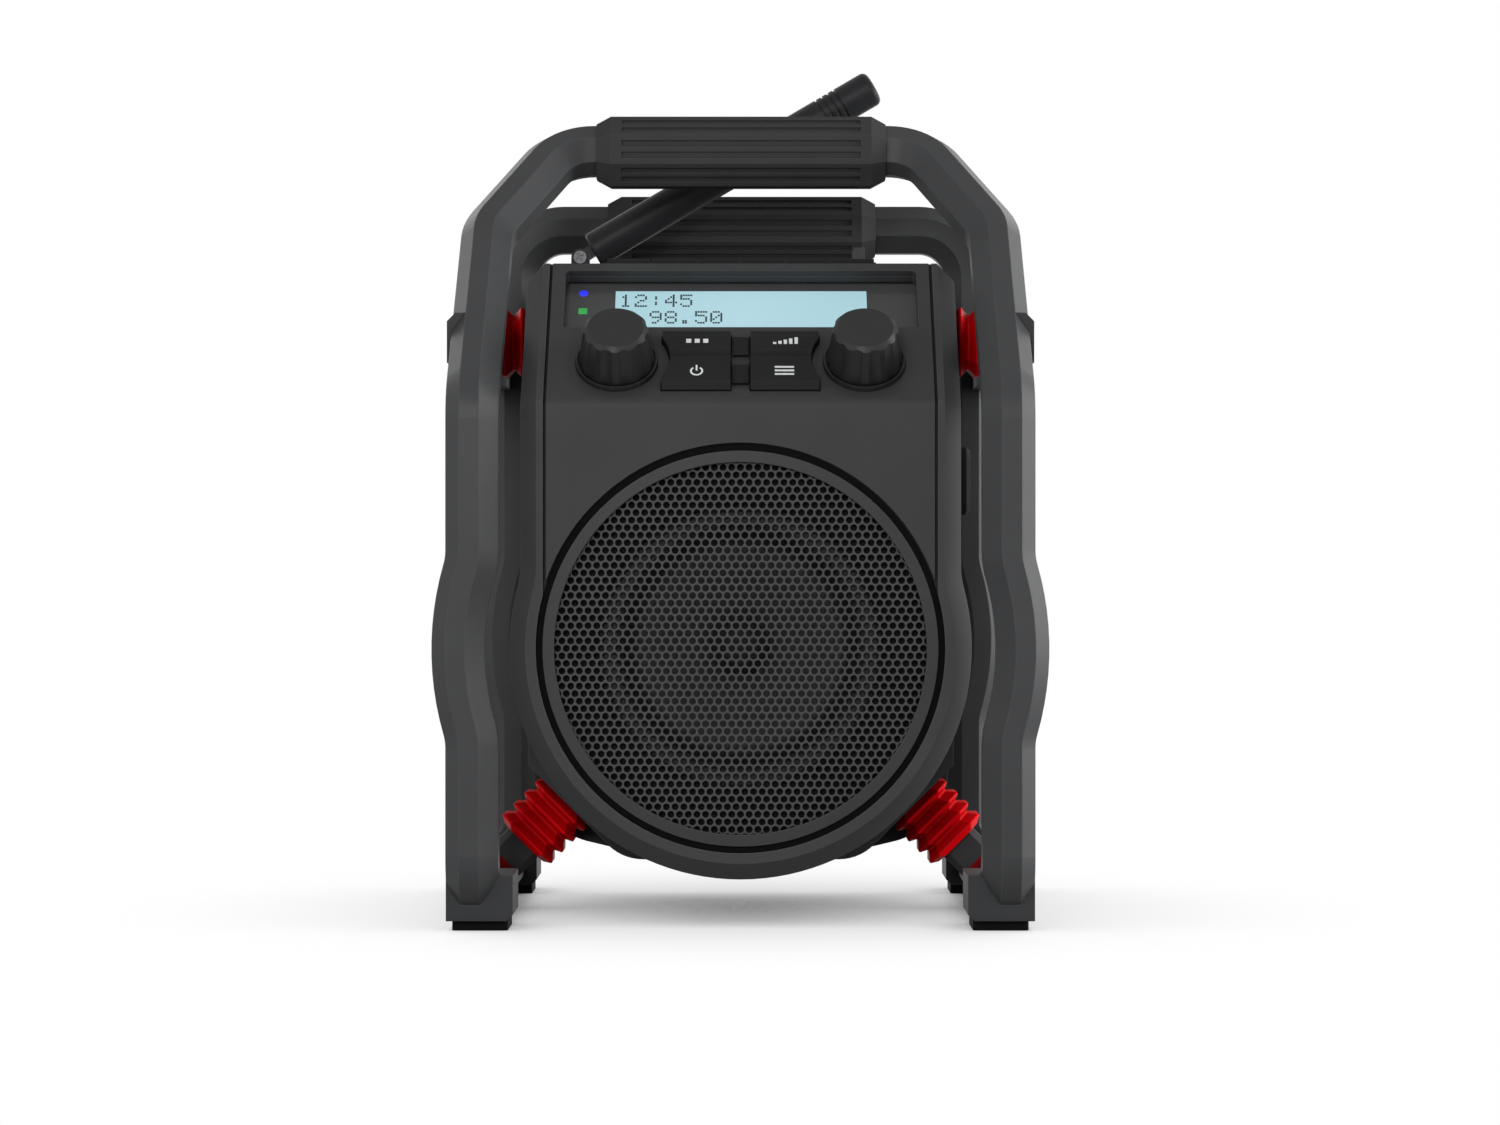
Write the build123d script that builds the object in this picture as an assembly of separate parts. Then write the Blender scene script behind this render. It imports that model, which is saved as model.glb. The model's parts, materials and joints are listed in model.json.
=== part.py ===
"""Jobsite radio in a bent-tube cage.

Millimetres, +Z up, front towards -Y, +X to the right of someone who faces the front.
The origin is the centre of the footprint, on the surface that the radio stands on.
"""
from build123d import *
import os
from math import asin, cos, degrees, radians, sin, sqrt, tan

# ---------------------------------------------------------------- cage tube
tube_width = 18.2           # across the tube, in the plane of the frame
tube_depth = 19.0           # across the tube, square to that plane
tube_outer_chamfer = 5.0
tube_inner_chamfer = 6.4
cage_depth = 194.0          # front plane of the front frame to the back of the rear grip

front_leg_clearance = 6.5   # body side to the inner flat of a front leg
rear_leg_clearance = 2.1
shoulder_inset = 1.0        # the front legs close in a little at the shoulder
top_corner_x = 66.5
waist_z = 184.0             # the front legs lean back above this height
shoulder_z = 246.0
front_top_z = 280.0
front_lean = 45.0           # degrees from upright
waist_radius = 16.0
shoulder_radius = 22.0
front_corner_radius = 20.0

rear_top_z = 257.6
rear_corner_radius = 19.0

bulge_rise = 4.8            # how far both legs stand out around the speaker
bulge_blend = 25.0
foot_bend_radius = 12.5
foot_axis_z = 13.7          # tube axis below the bend
foot_stub = 4.0

# ---------------------------------------------------------------- grips
grip_across = 25.8
grip_end_length = 5.4
grip_end_drop = 2.8
front_grip_half = 53.6
rear_grip_half = 52.2
grip_fit = 0.1
groove_length_inset = 4.0
groove_width = 2.4
groove_depth = 0.7
groove_offsets = (-2.1, 2.1)

# ---------------------------------------------------------------- feet and side members
foot_width = 23.2
foot_overhang = 0.1         # outside the leg's outer flat
foot_length = 31.0
foot_setback = 8.0          # block face behind the cage's front plane
foot_top_z = 19.4
foot_corner = 2.2
pad_height = 3.5
pad_width = 19.3
pad_length = 25.0
pad_edge = 0.8

rail_top_z = 19.0
rail_bottom_z = 4.6
rail_width = 18.4
rail_corner = 3.0
rail_seat_chamfer = 8.4     # sloping seat of the lower struts

bridge_bottom_z = 195.0
bridge_height = 20.5
bridge_standoff = 12.8      # body side to the bridge, the length of the upper bellows
bridge_overhang = 1.3       # outside the front leg's outer flat
bridge_chamfer = 3.0
boss_depth = 8.0

bolt_head_radius = 4.2
bolt_head_height = 2.2
bolt_shank_radius = 2.5
bolt_length = 12.0
bolt_fit = 0.1
bolt_setback = 4.0          # bolt behind the axis of the leaning front leg, and before that of the rear leg
bolt_end_margin = 7.0       # bolt to the end of the bridge

# ---------------------------------------------------------------- bellows, struts, collars
bellows_size = 25.2
bellows_corner = 4.5
bellows_root_drop = 2.6
bellows_land = 0.35
upper_rib_pitch = 6.2
upper_ribs = 2
upper_crest_share = 0.5      # where each rib's crest stands along its pitch
lower_rib_pitch = 5.6
lower_crest_share = 0.62
lower_ribs = 4
strut_size = 15.0
strut_corner = 2.2
collar_length = 3.3
collar_size = 15.0
bellows_axis_z = 208.7
seat_gap = 0.3

# ---------------------------------------------------------------- body
body_bottom_z = 20.0
body_top_z = 235.8
body_front_y = -80.0
body_rear_y = 74.0
split_y = -26.0
body_top_chamfer = 6.5
body_corner_chamfer = 34.2
front_edge_chamfer = 6.0
rear_edge_chamfer = 4.0
wall = 3.0
closing_lip = 2.4           # rims that close each shell where the other is smaller
skin = 2.6                  # thickness of the control fascia
crease_z = 184.0
panel_tilt = 43.5           # degrees from upright

speaker_z = 97.7
drum_rise = 3.8             # how far the round front stands out beyond the body's sides
drum_rim = 9.6
drum_blend = 30.0
ring_groove = 2.4
ring_groove_depth = 1.4      # below the recess that the bezel sits in
bezel_width = 4.0
fascia_gap = 1.1
fascia_inset = 3.6
fascia_ring_gap = 0.4
crease_radius = 5.0
casing_corner_radius = 18.0
haunch_gap = 1.4             # lower bellows to the fuller corner behind them
haunch_low_x = 42.0
haunch_inset = 14.2
haunch_rise = 5.0
haunch_side_rise = 18.0
haunch_radius = 22.0
haunch_overlap = 6.0

grille_sheet = 1.0
grille_lap = 2.6            # how far the grille reaches under the bezel
grille_pitch = 6.08
grille_hole_radius = 2.3
grille_fit = 0.3

# ---------------------------------------------------------------- control panel, distances up the slope
display_bottom = 37.7
display_top = 67.5
display_side_margin = 4.6
display_corner = 1.2
window_margin = 1.8
window_thickness = 1.8
lcd_side_margin = 17.8
lcd_bottom = 42.0
lcd_top = 64.8
lcd_depth = 5.0
light_side_inset = 6.4
light_size = 3.4
light_heights = (54.0, 63.4)

knob_side_margin = 24.2
knob_up = 19.3
knob_base_radius = 13.2
knob_shoulder_radius = 11.4
knob_top_radius = 9.8
knob_height = 16.0
knob_shoulder_drop = 1.5
knob_foot = 1.2
knob_lift = 1.0
knob_flutes = 12
knob_flute_radius = 6.5
knob_flute_depth = 0.45
knob_ring_radius = 14.7
knob_ring_height = 1.7
knob_ring_floor = 0.6
shaft_radius = 3.0
shaft_fit = 0.05
shaft_reach = 8.0           # below the panel's surface
encoder_size = 12.0
bushing_radius = 4.4

button_gap_half = 3.5       # half the strip between the left and the right buttons
key_to_knob = 16.0          # outer end of a key to the knob's axis
button_rows = ((5.2, 19.9), (20.9, 32.6))
button_height = 2.8
button_bevel = 2.0
button_fit = 0.35
button_travel = 0.8
button_knob_gap = 4.1
centre_pad_width = 5.6
centre_pad_height = 1.2

board_thickness = 1.6
board_offset = 11.0         # key board below the panel's surface
board_side_margin = 9.8
board_bottom = 4.0
board_top = 36.0
switch_clearance = 0.15

# ---------------------------------------------------------------- speaker driver
basket_seat = 4.0           # how far the basket's flange reaches past the opening
flange_thickness = 2.0
driver_opening_radius = 50.0
surround_width = 9.0
cone_depth = 15.0
basket_depth = 34.0
basket_back_radius = 34.0
magnet_radius = 38.0
magnet_thickness = 16.0
coil_radius = 11.0
coil_gap = 0.6

# ---------------------------------------------------------------- battery bay and rear
bay_side_margin = 6.7       # bay to the body's side
bay_end_gap = 2.6           # last cell to the bay's end
bay_bottom_z = 56.0
bay_top_z = 129.0
bay_depth = 38.0
cell_radius = 16.6
cell_length = 61.5
cell_pitch = 34.2
cell_count = 4
door_gap = 0.4
hinge_drop = 4.6
hinge_radius = 2.6
hinge_pin_radius = 1.5
hinge_pin_fit = 0.05
hinge_arm = 20.0
hinge_lug = 9.0
hinge_pin_reach = hinge_arm / 2 + door_gap + hinge_lug
door_vents = 5
door_vent_pitch = 5.0
door_vent_width = 1.6
door_vent_depth = 0.8
door_vent_rise = 12.0
door_vent_margin = 30.5       # vents end this far short of the bay
hinge_x = 35.0
lock_radius = 6.0
lock_drop = 10.0
lock_fit = 0.05
contact_size = 14.0
contact_thickness = 0.6
spring_radius = 6.0
spring_wall = 1.2

main_board_half_width = 60.0
main_board_bottom_z = 136.0
main_board_top_z = 222.0
main_board_stand = 8.0

# ---------------------------------------------------------------- sockets on the right side
cover_height = 24.6
cover_length = 44.0
cover_thickness = 5.6
cover_bottom_z = 145.0
cover_y = -8.0
cover_corner = 5.0
cover_edge = 1.4
socket_pitch = 18.0
power_radius = 4.5
power_bore = 2.8
power_depth = 10.0
audio_radius = 3.5
audio_bore = 1.8
audio_depth = 12.0

# ---------------------------------------------------------------- screws at the back
screw_head_radius = 3.2
screw_drive_radius = 1.2
screw_recess = 1.6
screw_fit = 0.2
screw_side_inset = 9.0
screw_top_inset = 14.0
screw_bottom_inset = 7.0
screw_middle_z = 146.0
screw_low_x = 30.0

# ---------------------------------------------------------------- antenna
antenna_side_inset = 15.7
antenna_y = 49.0
antenna_z = 244.2
antenna_rest = 30.3         # degrees above level at rest
antenna_length = 129.8
antenna_radius = 6.8
antenna_neck = 5.4          # pivot to the start of the rubber stub
tongue_thickness = 3.0
tongue_radius = 3.5
tongue_foot = 4.2
tongue_foot_height = 1.2
fork_thickness = 1.6
fork_gap = 0.3
antenna_pin_radius = 1.4
antenna_pin_fit = 0.05
clip_reach = 106.3          # pivot to the cradle
clip_thickness = 4.2
clip_wall = 2.2
clip_top_z = 247.4
clip_fit = 0.4

# ---------------------------------------------------------------- top mat
mat_side_inset = 28.2
mat_segments = 6
mat_gap = 1.4
mat_base = 0.8
mat_height = 2.1
mat_front_y = -26.0
mat_rear_y = 34.0

# ---------------------------------------------------------------- derived places
cell_span = (cell_count - 1) / 2 * cell_pitch
bay_half_width = cell_span + cell_radius + bay_end_gap
body_half_width = bay_half_width + bay_side_margin
front_axis_x = body_half_width + front_leg_clearance + tube_width / 2
rear_axis_x = body_half_width + rear_leg_clearance + tube_width / 2
shoulder_axis_x = front_axis_x - shoulder_inset
front_axis_y = -cage_depth / 2 + tube_depth / 2
rear_axis_y = cage_depth / 2 - grip_across / 2
lean_run = tan(radians(front_lean))
front_top_y = front_axis_y + (front_top_z - waist_z) * lean_run
panel_rise = tan(radians(panel_tilt))
fascia_floor_y = body_front_y + skin
inner_front = skin + wall
foot_front_y = -cage_depth / 2 + foot_setback
foot_outer_x = front_axis_x + tube_width / 2 + foot_overhang
foot_inner_x = foot_outer_x - foot_width
rail_inner_x = foot_outer_x - rail_width
bridge_inner_x = body_half_width + bridge_standoff
bridge_outer_x = front_axis_x + tube_width / 2 + bridge_overhang
bolt_z = bridge_bottom_z + bridge_height / 2
front_bolt_y = front_axis_y + (bolt_z - waist_z) * lean_run + bolt_setback
rear_bolt_y = rear_axis_y - bolt_setback
drum_radius = body_half_width + drum_rise
ring_groove_radius = drum_radius - drum_rim
bezel_outer_radius = ring_groove_radius - ring_groove
bezel_inner_radius = bezel_outer_radius - bezel_width
speaker_hole_radius = bezel_inner_radius + 0.2
grille_radius = bezel_inner_radius + grille_lap
basket_radius = speaker_hole_radius + basket_seat
fascia_half_width = ring_groove_radius - fascia_inset
display_half_width = fascia_half_width - display_side_margin
board_half_width = fascia_half_width - board_side_margin
knob_x = fascia_half_width - knob_side_margin
button_width = knob_x - button_gap_half - key_to_knob
lcd_half_width = display_half_width - lcd_side_margin
light_x = light_side_inset - display_half_width
antenna_x = antenna_side_inset - body_half_width
clip_x = antenna_x + clip_reach
mat_half_width = body_half_width - mat_side_inset
hinge_y = body_rear_y + 0.5
hinge_z = bay_bottom_z - hinge_drop

panel = Plane(
    origin=(0, body_front_y, crease_z),
    x_dir=(1, 0, 0),
    z_dir=(0, -cos(radians(panel_tilt)), sin(radians(panel_tilt))),
)


# ---------------------------------------------------------------- helpers
def slab(face, y_near, y_far):
    """A sketch drawn in X and Z, made solid from y_near to y_far."""
    plane = Plane(origin=(0, y_far, 0), x_dir=(1, 0, 0), z_dir=(0, -1, 0))
    return extrude(plane * face, amount=y_far - y_near)


def block(x0, x1, y0, y1, z0, z1):
    """A box between two corners."""
    return Pos((x0 + x1) / 2, (y0 + y1) / 2, (z0 + z1) / 2) * Box(x1 - x0, y1 - y0, z1 - z0)


def rod_y(x, z, radius, y0, y1):
    """A round bar along Y."""
    return Pos(x, (y0 + y1) / 2, z) * Rot(90, 0, 0) * Cylinder(radius, y1 - y0)


def rod_x(y, z, radius, x0, x1):
    """A round bar along X."""
    return Pos((x0 + x1) / 2, y, z) * Rot(0, 90, 0) * Cylinder(radius, x1 - x0)


def on_panel(x, up, low, high, shape):
    """A flat sketch set on the sloping panel, solid between two heights above its surface."""
    plane = Plane(origin=panel.from_local_coords((x, up, low)), x_dir=(1, 0, 0), z_dir=panel.z_dir)
    return extrude(plane * shape, amount=high - low)


def cut_square(size, corner):
    """A square with its corners cut at 45 degrees."""
    h = size / 2
    k = h - corner
    points = [(h, -k), (h, k), (k, h), (-k, h), (-h, k), (-h, -k), (-k, -h), (k, -h)]
    return make_face(Polyline(*points, close=True))


def mirrored(shape):
    """The same shape on the other side of the radio."""
    return mirror(shape, about=Plane.YZ)


def save(node, *solids):
    """Write one named piece, or a group of like pieces, as a STEP file."""
    shape = solids[0] if len(solids) == 1 else Compound(children=list(solids))
    shape.label = node
    export_step(shape, os.path.join("parts", node + ".step"))


# ---------------------------------------------------------------- cage
def tube_section(plane):
    """Tube outline: local X points out of the frame, local Y is square to the frame."""
    w, d = tube_width / 2, tube_depth / 2
    a, b = tube_outer_chamfer, tube_inner_chamfer
    points = [(w, a - d), (w, d - a), (w - a, d), (b - w, d), (-w, d - b), (-w, b - d), (b - w, -d), (w - a, -d)]
    return plane * make_face(Polyline(*points, close=True))


def bulged_leg(axis_x, y, top_z, bottom_z):
    """Tube axis of one leg, from top_z down to bottom_z, standing out around the speaker."""
    big = axis_x + bulge_rise
    blend_z = sqrt((big + bulge_blend) ** 2 - (axis_x + bulge_blend) ** 2)
    share = big / (big + bulge_blend)
    touch_x, touch_z = (axis_x + bulge_blend) * share, blend_z * share
    turn = asin(blend_z / (big + bulge_blend))
    mid_x = axis_x + bulge_blend * (1 - cos(turn / 2))
    mid_z = blend_z - bulge_blend * sin(turn / 2)
    up = (axis_x, y, speaker_z + blend_z)
    up_touch = (touch_x, y, speaker_z + touch_z)
    low_touch = (touch_x, y, speaker_z - touch_z)
    low = (axis_x, y, speaker_z - blend_z)
    return [
        Line((axis_x, y, top_z), up),
        ThreePointArc(up, (mid_x, y, speaker_z + mid_z), up_touch),
        ThreePointArc(up_touch, (big, y, speaker_z), low_touch),
        ThreePointArc(low_touch, (mid_x, y, speaker_z - mid_z), low),
        Line(low, (axis_x, y, bottom_z)),
    ]


def foot_bend(axis_x, y, inward):
    """Tube axis from the leg's lower end round to level, towards the middle of the cage."""
    r = foot_bend_radius
    top = (axis_x, y, foot_axis_z + r)
    mid = (axis_x, y + inward * r * (1 - cos(radians(45))), foot_axis_z + r * (1 - sin(radians(45))))
    end = (axis_x, y + inward * r, foot_axis_z)
    return [ThreePointArc(top, mid, end), Line(end, (axis_x, y + inward * (r + foot_stub), foot_axis_z))]


def whole_tube(path, section):
    """Sweep one half of a frame and add its mirror image."""
    half = sweep(section, path=Wire(path))
    return (half + mirrored(half)).clean()


def make_front_frame():
    bend_z = waist_z - waist_radius
    upper = FilletPolyline(
        (0, front_top_y, front_top_z),
        (top_corner_x, front_top_y, front_top_z),
        (shoulder_axis_x, front_axis_y + (shoulder_z - waist_z) * lean_run, shoulder_z),
        (front_axis_x, front_axis_y, waist_z),
        (front_axis_x, front_axis_y, bend_z),
        radius=[front_corner_radius, shoulder_radius, waist_radius],
    )
    leg = bulged_leg(front_axis_x, front_axis_y, bend_z, foot_axis_z + foot_bend_radius)
    path = upper.edges() + leg + foot_bend(front_axis_x, front_axis_y, 1)
    lean = radians(front_lean)
    start = Plane(origin=(0, front_top_y, front_top_z), x_dir=(0, sin(lean), cos(lean)), z_dir=(1, 0, 0))
    return whole_tube(path, tube_section(start))


def make_rear_frame():
    bend_z = rear_top_z - 2 * rear_corner_radius
    upper = FilletPolyline(
        (0, rear_axis_y, rear_top_z),
        (rear_axis_x, rear_axis_y, rear_top_z),
        (rear_axis_x, rear_axis_y, bend_z),
        radius=rear_corner_radius,
    )
    leg = bulged_leg(rear_axis_x, rear_axis_y, bend_z, foot_axis_z + foot_bend_radius)
    path = upper.edges() + leg + foot_bend(rear_axis_x, rear_axis_y, -1)
    start = Plane(origin=(0, rear_axis_y, rear_top_z), x_dir=(0, 0, 1), z_dir=(1, 0, 0))
    return whole_tube(path, tube_section(start))


def make_grip(half_length, y, z):
    """Ribbed rubber sleeve on a top bar, with one flat to the front."""
    outline = cut_square(grip_across, grip_across * (2 - sqrt(2)) / 2)
    straight = half_length - grip_end_length
    end_taper = degrees(asin(grip_end_drop / sqrt(grip_end_drop ** 2 + grip_end_length ** 2)))
    middle = extrude(Plane.YZ * outline, amount=straight, both=True)
    end = extrude(Plane.YZ.offset(straight) * outline, amount=grip_end_length, taper=end_taper)
    sleeve = middle + end + mirrored(end)
    groove = Box(2 * (straight - groove_length_inset), groove_width, 2 * groove_depth)
    for facet in range(8):
        for offset in groove_offsets:
            sleeve -= Rot(45 * facet, 0, 0) * Pos(0, offset, grip_across / 2) * groove
    return Pos(0, y, z) * sleeve


def grip_bore(plane, half_length):
    """The tube's outline plus the rubber's fit, to be cut out of a grip."""
    grown = offset(tube_section(plane), amount=grip_fit, kind=Kind.INTERSECTION)
    return extrude(grown, amount=half_length + 1, both=True)


def make_foot(y_near, y_far, frame):
    """Foot block around the bend at the lower end of a leg."""
    shape = block(foot_inner_x, foot_outer_x, y_near, y_far, pad_height, foot_top_z)
    inner_edges = shape.edges().filter_by(Axis.Y).group_by(Axis.X)[0]
    shape = chamfer(inner_edges.sort_by(Axis.Z)[0], foot_corner)
    return shape - frame


def trim_stub(frame, axis_y, inward):
    """Take the top of the bent-over tube end down to the foot block's height."""
    near = axis_y + inward * tube_depth / 2
    far = axis_y + inward * (foot_bend_radius + foot_stub + 1)
    y0, y1 = min(near, far), max(near, far)
    reach = foot_outer_x + 20
    return frame - block(-reach, reach, y0, y1, foot_top_z, foot_axis_z + tube_depth)


def make_pad(y_mid):
    pad_x = (foot_inner_x + foot_outer_x) / 2
    pad = Pos(pad_x, y_mid, pad_height / 2) * Box(pad_width, pad_length, pad_height)
    return chamfer(pad.edges().filter_by(Axis.Z), pad_edge)


def make_rail():
    """Lower side rail, with the sloping seat that carries the strut."""
    c = rail_corner
    points = [
        (foot_outer_x - c, rail_bottom_z),
        (rail_inner_x + c, rail_bottom_z),
        (rail_inner_x, rail_bottom_z + c),
        (rail_inner_x, rail_top_z - rail_seat_chamfer),
        (rail_inner_x + rail_seat_chamfer, rail_top_z),
        (foot_outer_x - tube_outer_chamfer, rail_top_z),
        (foot_outer_x, rail_top_z - tube_outer_chamfer),
        (foot_outer_x, rail_bottom_z + c),
    ]
    half = -foot_front_y - foot_length
    return slab(make_face(Polyline(*points, close=True)), -half, half)


def bridge_bolt(y, z, grow=0.0):
    """A bolt that holds a bridge to a leg, its head sunk in the bridge's outer face."""
    head = rod_x(y, z, bolt_head_radius + grow, bridge_outer_x - bolt_head_height, bridge_outer_x)
    shank = rod_x(y, z, bolt_shank_radius + grow, bridge_outer_x - bolt_length, bridge_outer_x - bolt_head_height)
    return head + shank


def make_bridge(front_frame, rear_frame, holes):
    y0, y1 = front_bolt_y - bolt_end_margin, rear_bolt_y + bolt_end_margin
    beam = block(bridge_inner_x, bridge_outer_x, y0, y1, bridge_bottom_z, bridge_bottom_z + bridge_height)
    beam = chamfer(beam.edges().filter_by(Axis.Y).group_by(Axis.X)[-1], bridge_chamfer)
    boss_plane = Plane(origin=(bridge_inner_x, 0, bellows_axis_z), x_dir=(0, 1, 0), z_dir=(1, 0, 0))
    boss = extrude(boss_plane * cut_square(bellows_size, bellows_corner), amount=boss_depth)
    bridge = beam + boss - front_frame - rear_frame
    for hole in holes:
        bridge -= hole
    return bridge


def bellows(plane, ribs, pitch, length, crest_share):
    """Square rubber bellows with cut corners, standing on the plane along its normal."""
    start = (length - ribs * pitch) / 2
    root = bellows_size - 2 * bellows_root_drop
    stations = [(0.0, root)]
    for i in range(ribs):
        crest = start + (i + crest_share) * pitch
        valley = start + (i + 1) * pitch
        stations.append((crest - bellows_land, bellows_size))
        stations.append((crest + bellows_land, bellows_size))
        if i < ribs - 1:
            stations.append((valley - bellows_land, root))
            stations.append((valley + bellows_land, root))
    stations.append((length, root))
    corner_share = bellows_corner / bellows_size
    sections = [plane.offset(at) * cut_square(size, size * corner_share) for at, size in stations]
    return loft(sections, ruled=True)


# ---------------------------------------------------------------- body
def tombstone(inset):
    """Front outline of the body: upright sides above, round around the speaker below."""
    h, t = body_half_width - inset, body_top_z - inset
    c = body_top_chamfer
    points = [(-h, speaker_z), (h, speaker_z), (h, t - c), (h - c, t), (c - h, t), (-h, t - c)]
    shape = make_face(Polyline(*points, close=True)) + Pos(0, speaker_z) * Circle(drum_radius - inset)
    meet = sqrt((drum_radius - inset) ** 2 - h ** 2) + speaker_z
    corners = [v for v in shape.vertices() if abs(v.Y - meet) < 0.1]
    return fillet(corners, drum_blend + inset)


def casing_outline(inset):
    """Outline of the rear casing: a box with its two lower corners cut off for the bellows."""
    h, t, b = body_half_width - inset, body_top_z - inset, body_bottom_z + inset
    c = body_top_chamfer
    k = body_corner_chamfer - inset * (2 - sqrt(2))
    points = [(k - h, b), (h - k, b), (h, b + k), (h, t - c), (h - c, t), (c - h, t), (-h, t - c), (-h, b + k)]
    shape = make_face(Polyline(*points, close=True))
    return fillet(shape.vertices().group_by(Axis.Y)[0], casing_corner_radius - inset)


def haunch_outline(inset):
    """Fuller lower end of the casing behind the bellows, swept up to the sides in an easy curve."""
    h, b = body_half_width, body_bottom_z
    half = [(haunch_low_x, b), (h - haunch_inset, b + haunch_rise), (h, b + haunch_side_rise)]
    half.append((h, b + body_corner_chamfer + haunch_overlap))
    points = half + [(-x, z) for x, z in reversed(half)]
    shape = make_face(Polyline(*points, close=True))
    low = shape.vertices().filter_by(lambda v: v.Y < b + haunch_side_rise - 1)
    shape = fillet(low, haunch_radius)
    return offset(shape, amount=-inset, kind=Kind.INTERSECTION) if inset else shape


def profile_points(inset, low_z, top_z):
    """Side profile of the front face and the sloping panel, set in by inset."""
    slope_y = body_front_y + inset / cos(radians(panel_tilt))
    bend_z = crease_z + (body_front_y + inset - slope_y) / panel_rise
    return [(body_front_y + inset, low_z), (body_front_y + inset, bend_z), (slope_y + (top_z - crease_z) * panel_rise, top_z)]


def band(outer, inner, half_width, low_z, top_z):
    """A layer that follows the front face and the panel between two insets."""
    points = profile_points(outer, low_z, top_z) + profile_points(inner, low_z, top_z)[::-1]
    return extrude(Plane.YZ * make_face(Polyline(*points, close=True)), amount=half_width, both=True)


def front_of(inset):
    """Everything in front of the body's face and panel, set in by inset."""
    high = body_top_z + 20
    return band(inset - cage_depth, inset, body_half_width + 20, -20, high)


def make_front_shell():
    outer = slab(tombstone(0), body_front_y, split_y) - front_of(0)
    face = outer.faces().sort_by(Axis.Y)[0]
    slope = [f for f in outer.faces() if abs(f.normal_at().Y + cos(radians(panel_tilt))) < 0.01][0]
    crease_level = 0.5
    rim = [e for e in face.edges() if abs(e.center().Z - crease_z) > crease_level]
    rim += [e for e in slope.edges() if abs(abs(e.center().X) - body_half_width) < 0.1]
    outer = chamfer(rim, front_edge_chamfer)
    hollow = slab(tombstone(wall), body_front_y + inner_front, split_y) - front_of(inner_front)
    shell = outer - hollow
    shell -= band(-1, skin, fascia_half_width + fascia_gap, speaker_z, body_top_z + 5)
    shell -= rod_y(0, speaker_z, ring_groove_radius, body_front_y - 1, fascia_floor_y)
    shell -= ring_y(ring_groove_radius, bezel_outer_radius, fascia_floor_y - 1, fascia_floor_y + ring_groove_depth)
    shell -= rod_y(0, speaker_z, speaker_hole_radius, body_front_y - 1, body_front_y + inner_front + 1)
    shell -= display_opening(-inner_front - 1, 1)
    for x in (-knob_x, knob_x):
        shell -= on_panel(x, knob_up, -inner_front - 1, 1, Circle(bushing_radius + button_fit))
    for side in (-1, 1):
        for low, high in button_rows:
            shell -= button_well(side, low, high)
    for x in (-board_half_width + 4, board_half_width - 4):
        for up in (board_bottom + 4, board_top - 4):
            post = on_panel(x, up, -board_offset, -inner_front + 0.2, Circle(3.0))
            shell += post & slab(tombstone(wall / 2), body_front_y, split_y)
    lip = tombstone(wall / 2) - casing_outline(wall + closing_lip)
    lip -= Pos(0, body_top_z) * Rectangle(300, 2 * (body_top_z - crease_z))
    return shell + slab(lip, split_y - closing_lip, split_y)


def display_opening(low, high):
    h, b, t, c = display_half_width, display_bottom, display_top, display_corner
    points = [(-h, b), (h, b), (h, t - c), (h - c, t), (c - h, t), (-h, t - c)]
    return on_panel(0, 0, low, high, make_face(Polyline(*points, close=True)))


def button_outline(side, low, high, grow=0.0):
    """One key's outline on the panel; its outer end is cut round beside the knob."""
    near, far = button_gap_half - grow, button_gap_half + button_width + grow
    key = Pos(side * (near + far) / 2, (low + high) / 2) * Rectangle(far - near, high - low + 2 * grow)
    clear = knob_ring_radius + button_knob_gap - grow
    return key - Pos(side * knob_x, knob_up) * Circle(clear)


def button_well(side, low, high):
    """Room under a key, through the shell's wall."""
    return on_panel(0, 0, -inner_front - 1, -skin, button_outline(side, low, high, button_fit))


def make_fascia():
    fascia = band(0, skin, fascia_half_width, speaker_z, body_top_z)
    creases = [e for e in fascia.edges() if abs(e.center().Z - crease_z) + abs(e.center().Y - body_front_y) < 0.01]
    fascia = fillet(creases, crease_radius)
    fascia -= rod_y(0, speaker_z, ring_groove_radius + fascia_ring_gap, body_front_y - 1, fascia_floor_y + 1)
    fascia -= display_opening(-skin - 1, 1)
    for x in (-knob_x, knob_x):
        fascia -= on_panel(x, knob_up, -skin - 1, 1, Circle(bushing_radius + button_fit))
    for side in (-1, 1):
        for low, high in button_rows:
            fascia -= on_panel(0, 0, -skin - 1, 1, button_outline(side, low, high, button_fit))
    return fascia.solids().sort_by(SortBy.VOLUME)[-1]


def make_button(side, low, high):
    """Key cap with a bevelled lower edge and a foot that presses its switch."""
    foot_depth = board_offset - board_thickness - 3.0
    cap = on_panel(0, 0, -foot_depth, button_height, button_outline(side, low, high))
    bevel = panel * Pos(0, low, button_height) * Rot(45, 0, 0) * Box(200, button_bevel * 1.6, button_bevel * 1.6)
    return cap - bevel


def make_knob():
    """Fluted knob about local Z, in one piece with its shaft."""
    points = [
        (0, 0), (knob_base_radius, 0), (knob_base_radius, knob_foot),
        (knob_shoulder_radius, knob_height - knob_shoulder_drop), (knob_top_radius, knob_height), (0, knob_height),
    ]
    body = revolve(Plane.XZ * make_face(Polyline(*points, close=True)), axis=Axis.Z)
    slope = degrees(asin((knob_base_radius - knob_shoulder_radius) / (knob_height - knob_shoulder_drop)))
    cutter = Cylinder(knob_flute_radius, knob_height * 3)
    flute = Pos(knob_base_radius, 0, 0) * Rot(0, -slope, 0) * Pos(knob_flute_radius - knob_flute_depth, 0, 0) * cutter
    for i in range(knob_flutes):
        body -= Rot(0, 0, (i + 0.5) * 360 / knob_flutes) * flute
    return body + Pos(0, 0, -(shaft_reach + knob_lift) / 2) * Cylinder(shaft_radius, shaft_reach + knob_lift)


def knob_place(side):
    return Plane(origin=panel.from_local_coords((side * knob_x, knob_up, 0)), x_dir=(1, 0, 0), z_dir=panel.z_dir)


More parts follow.
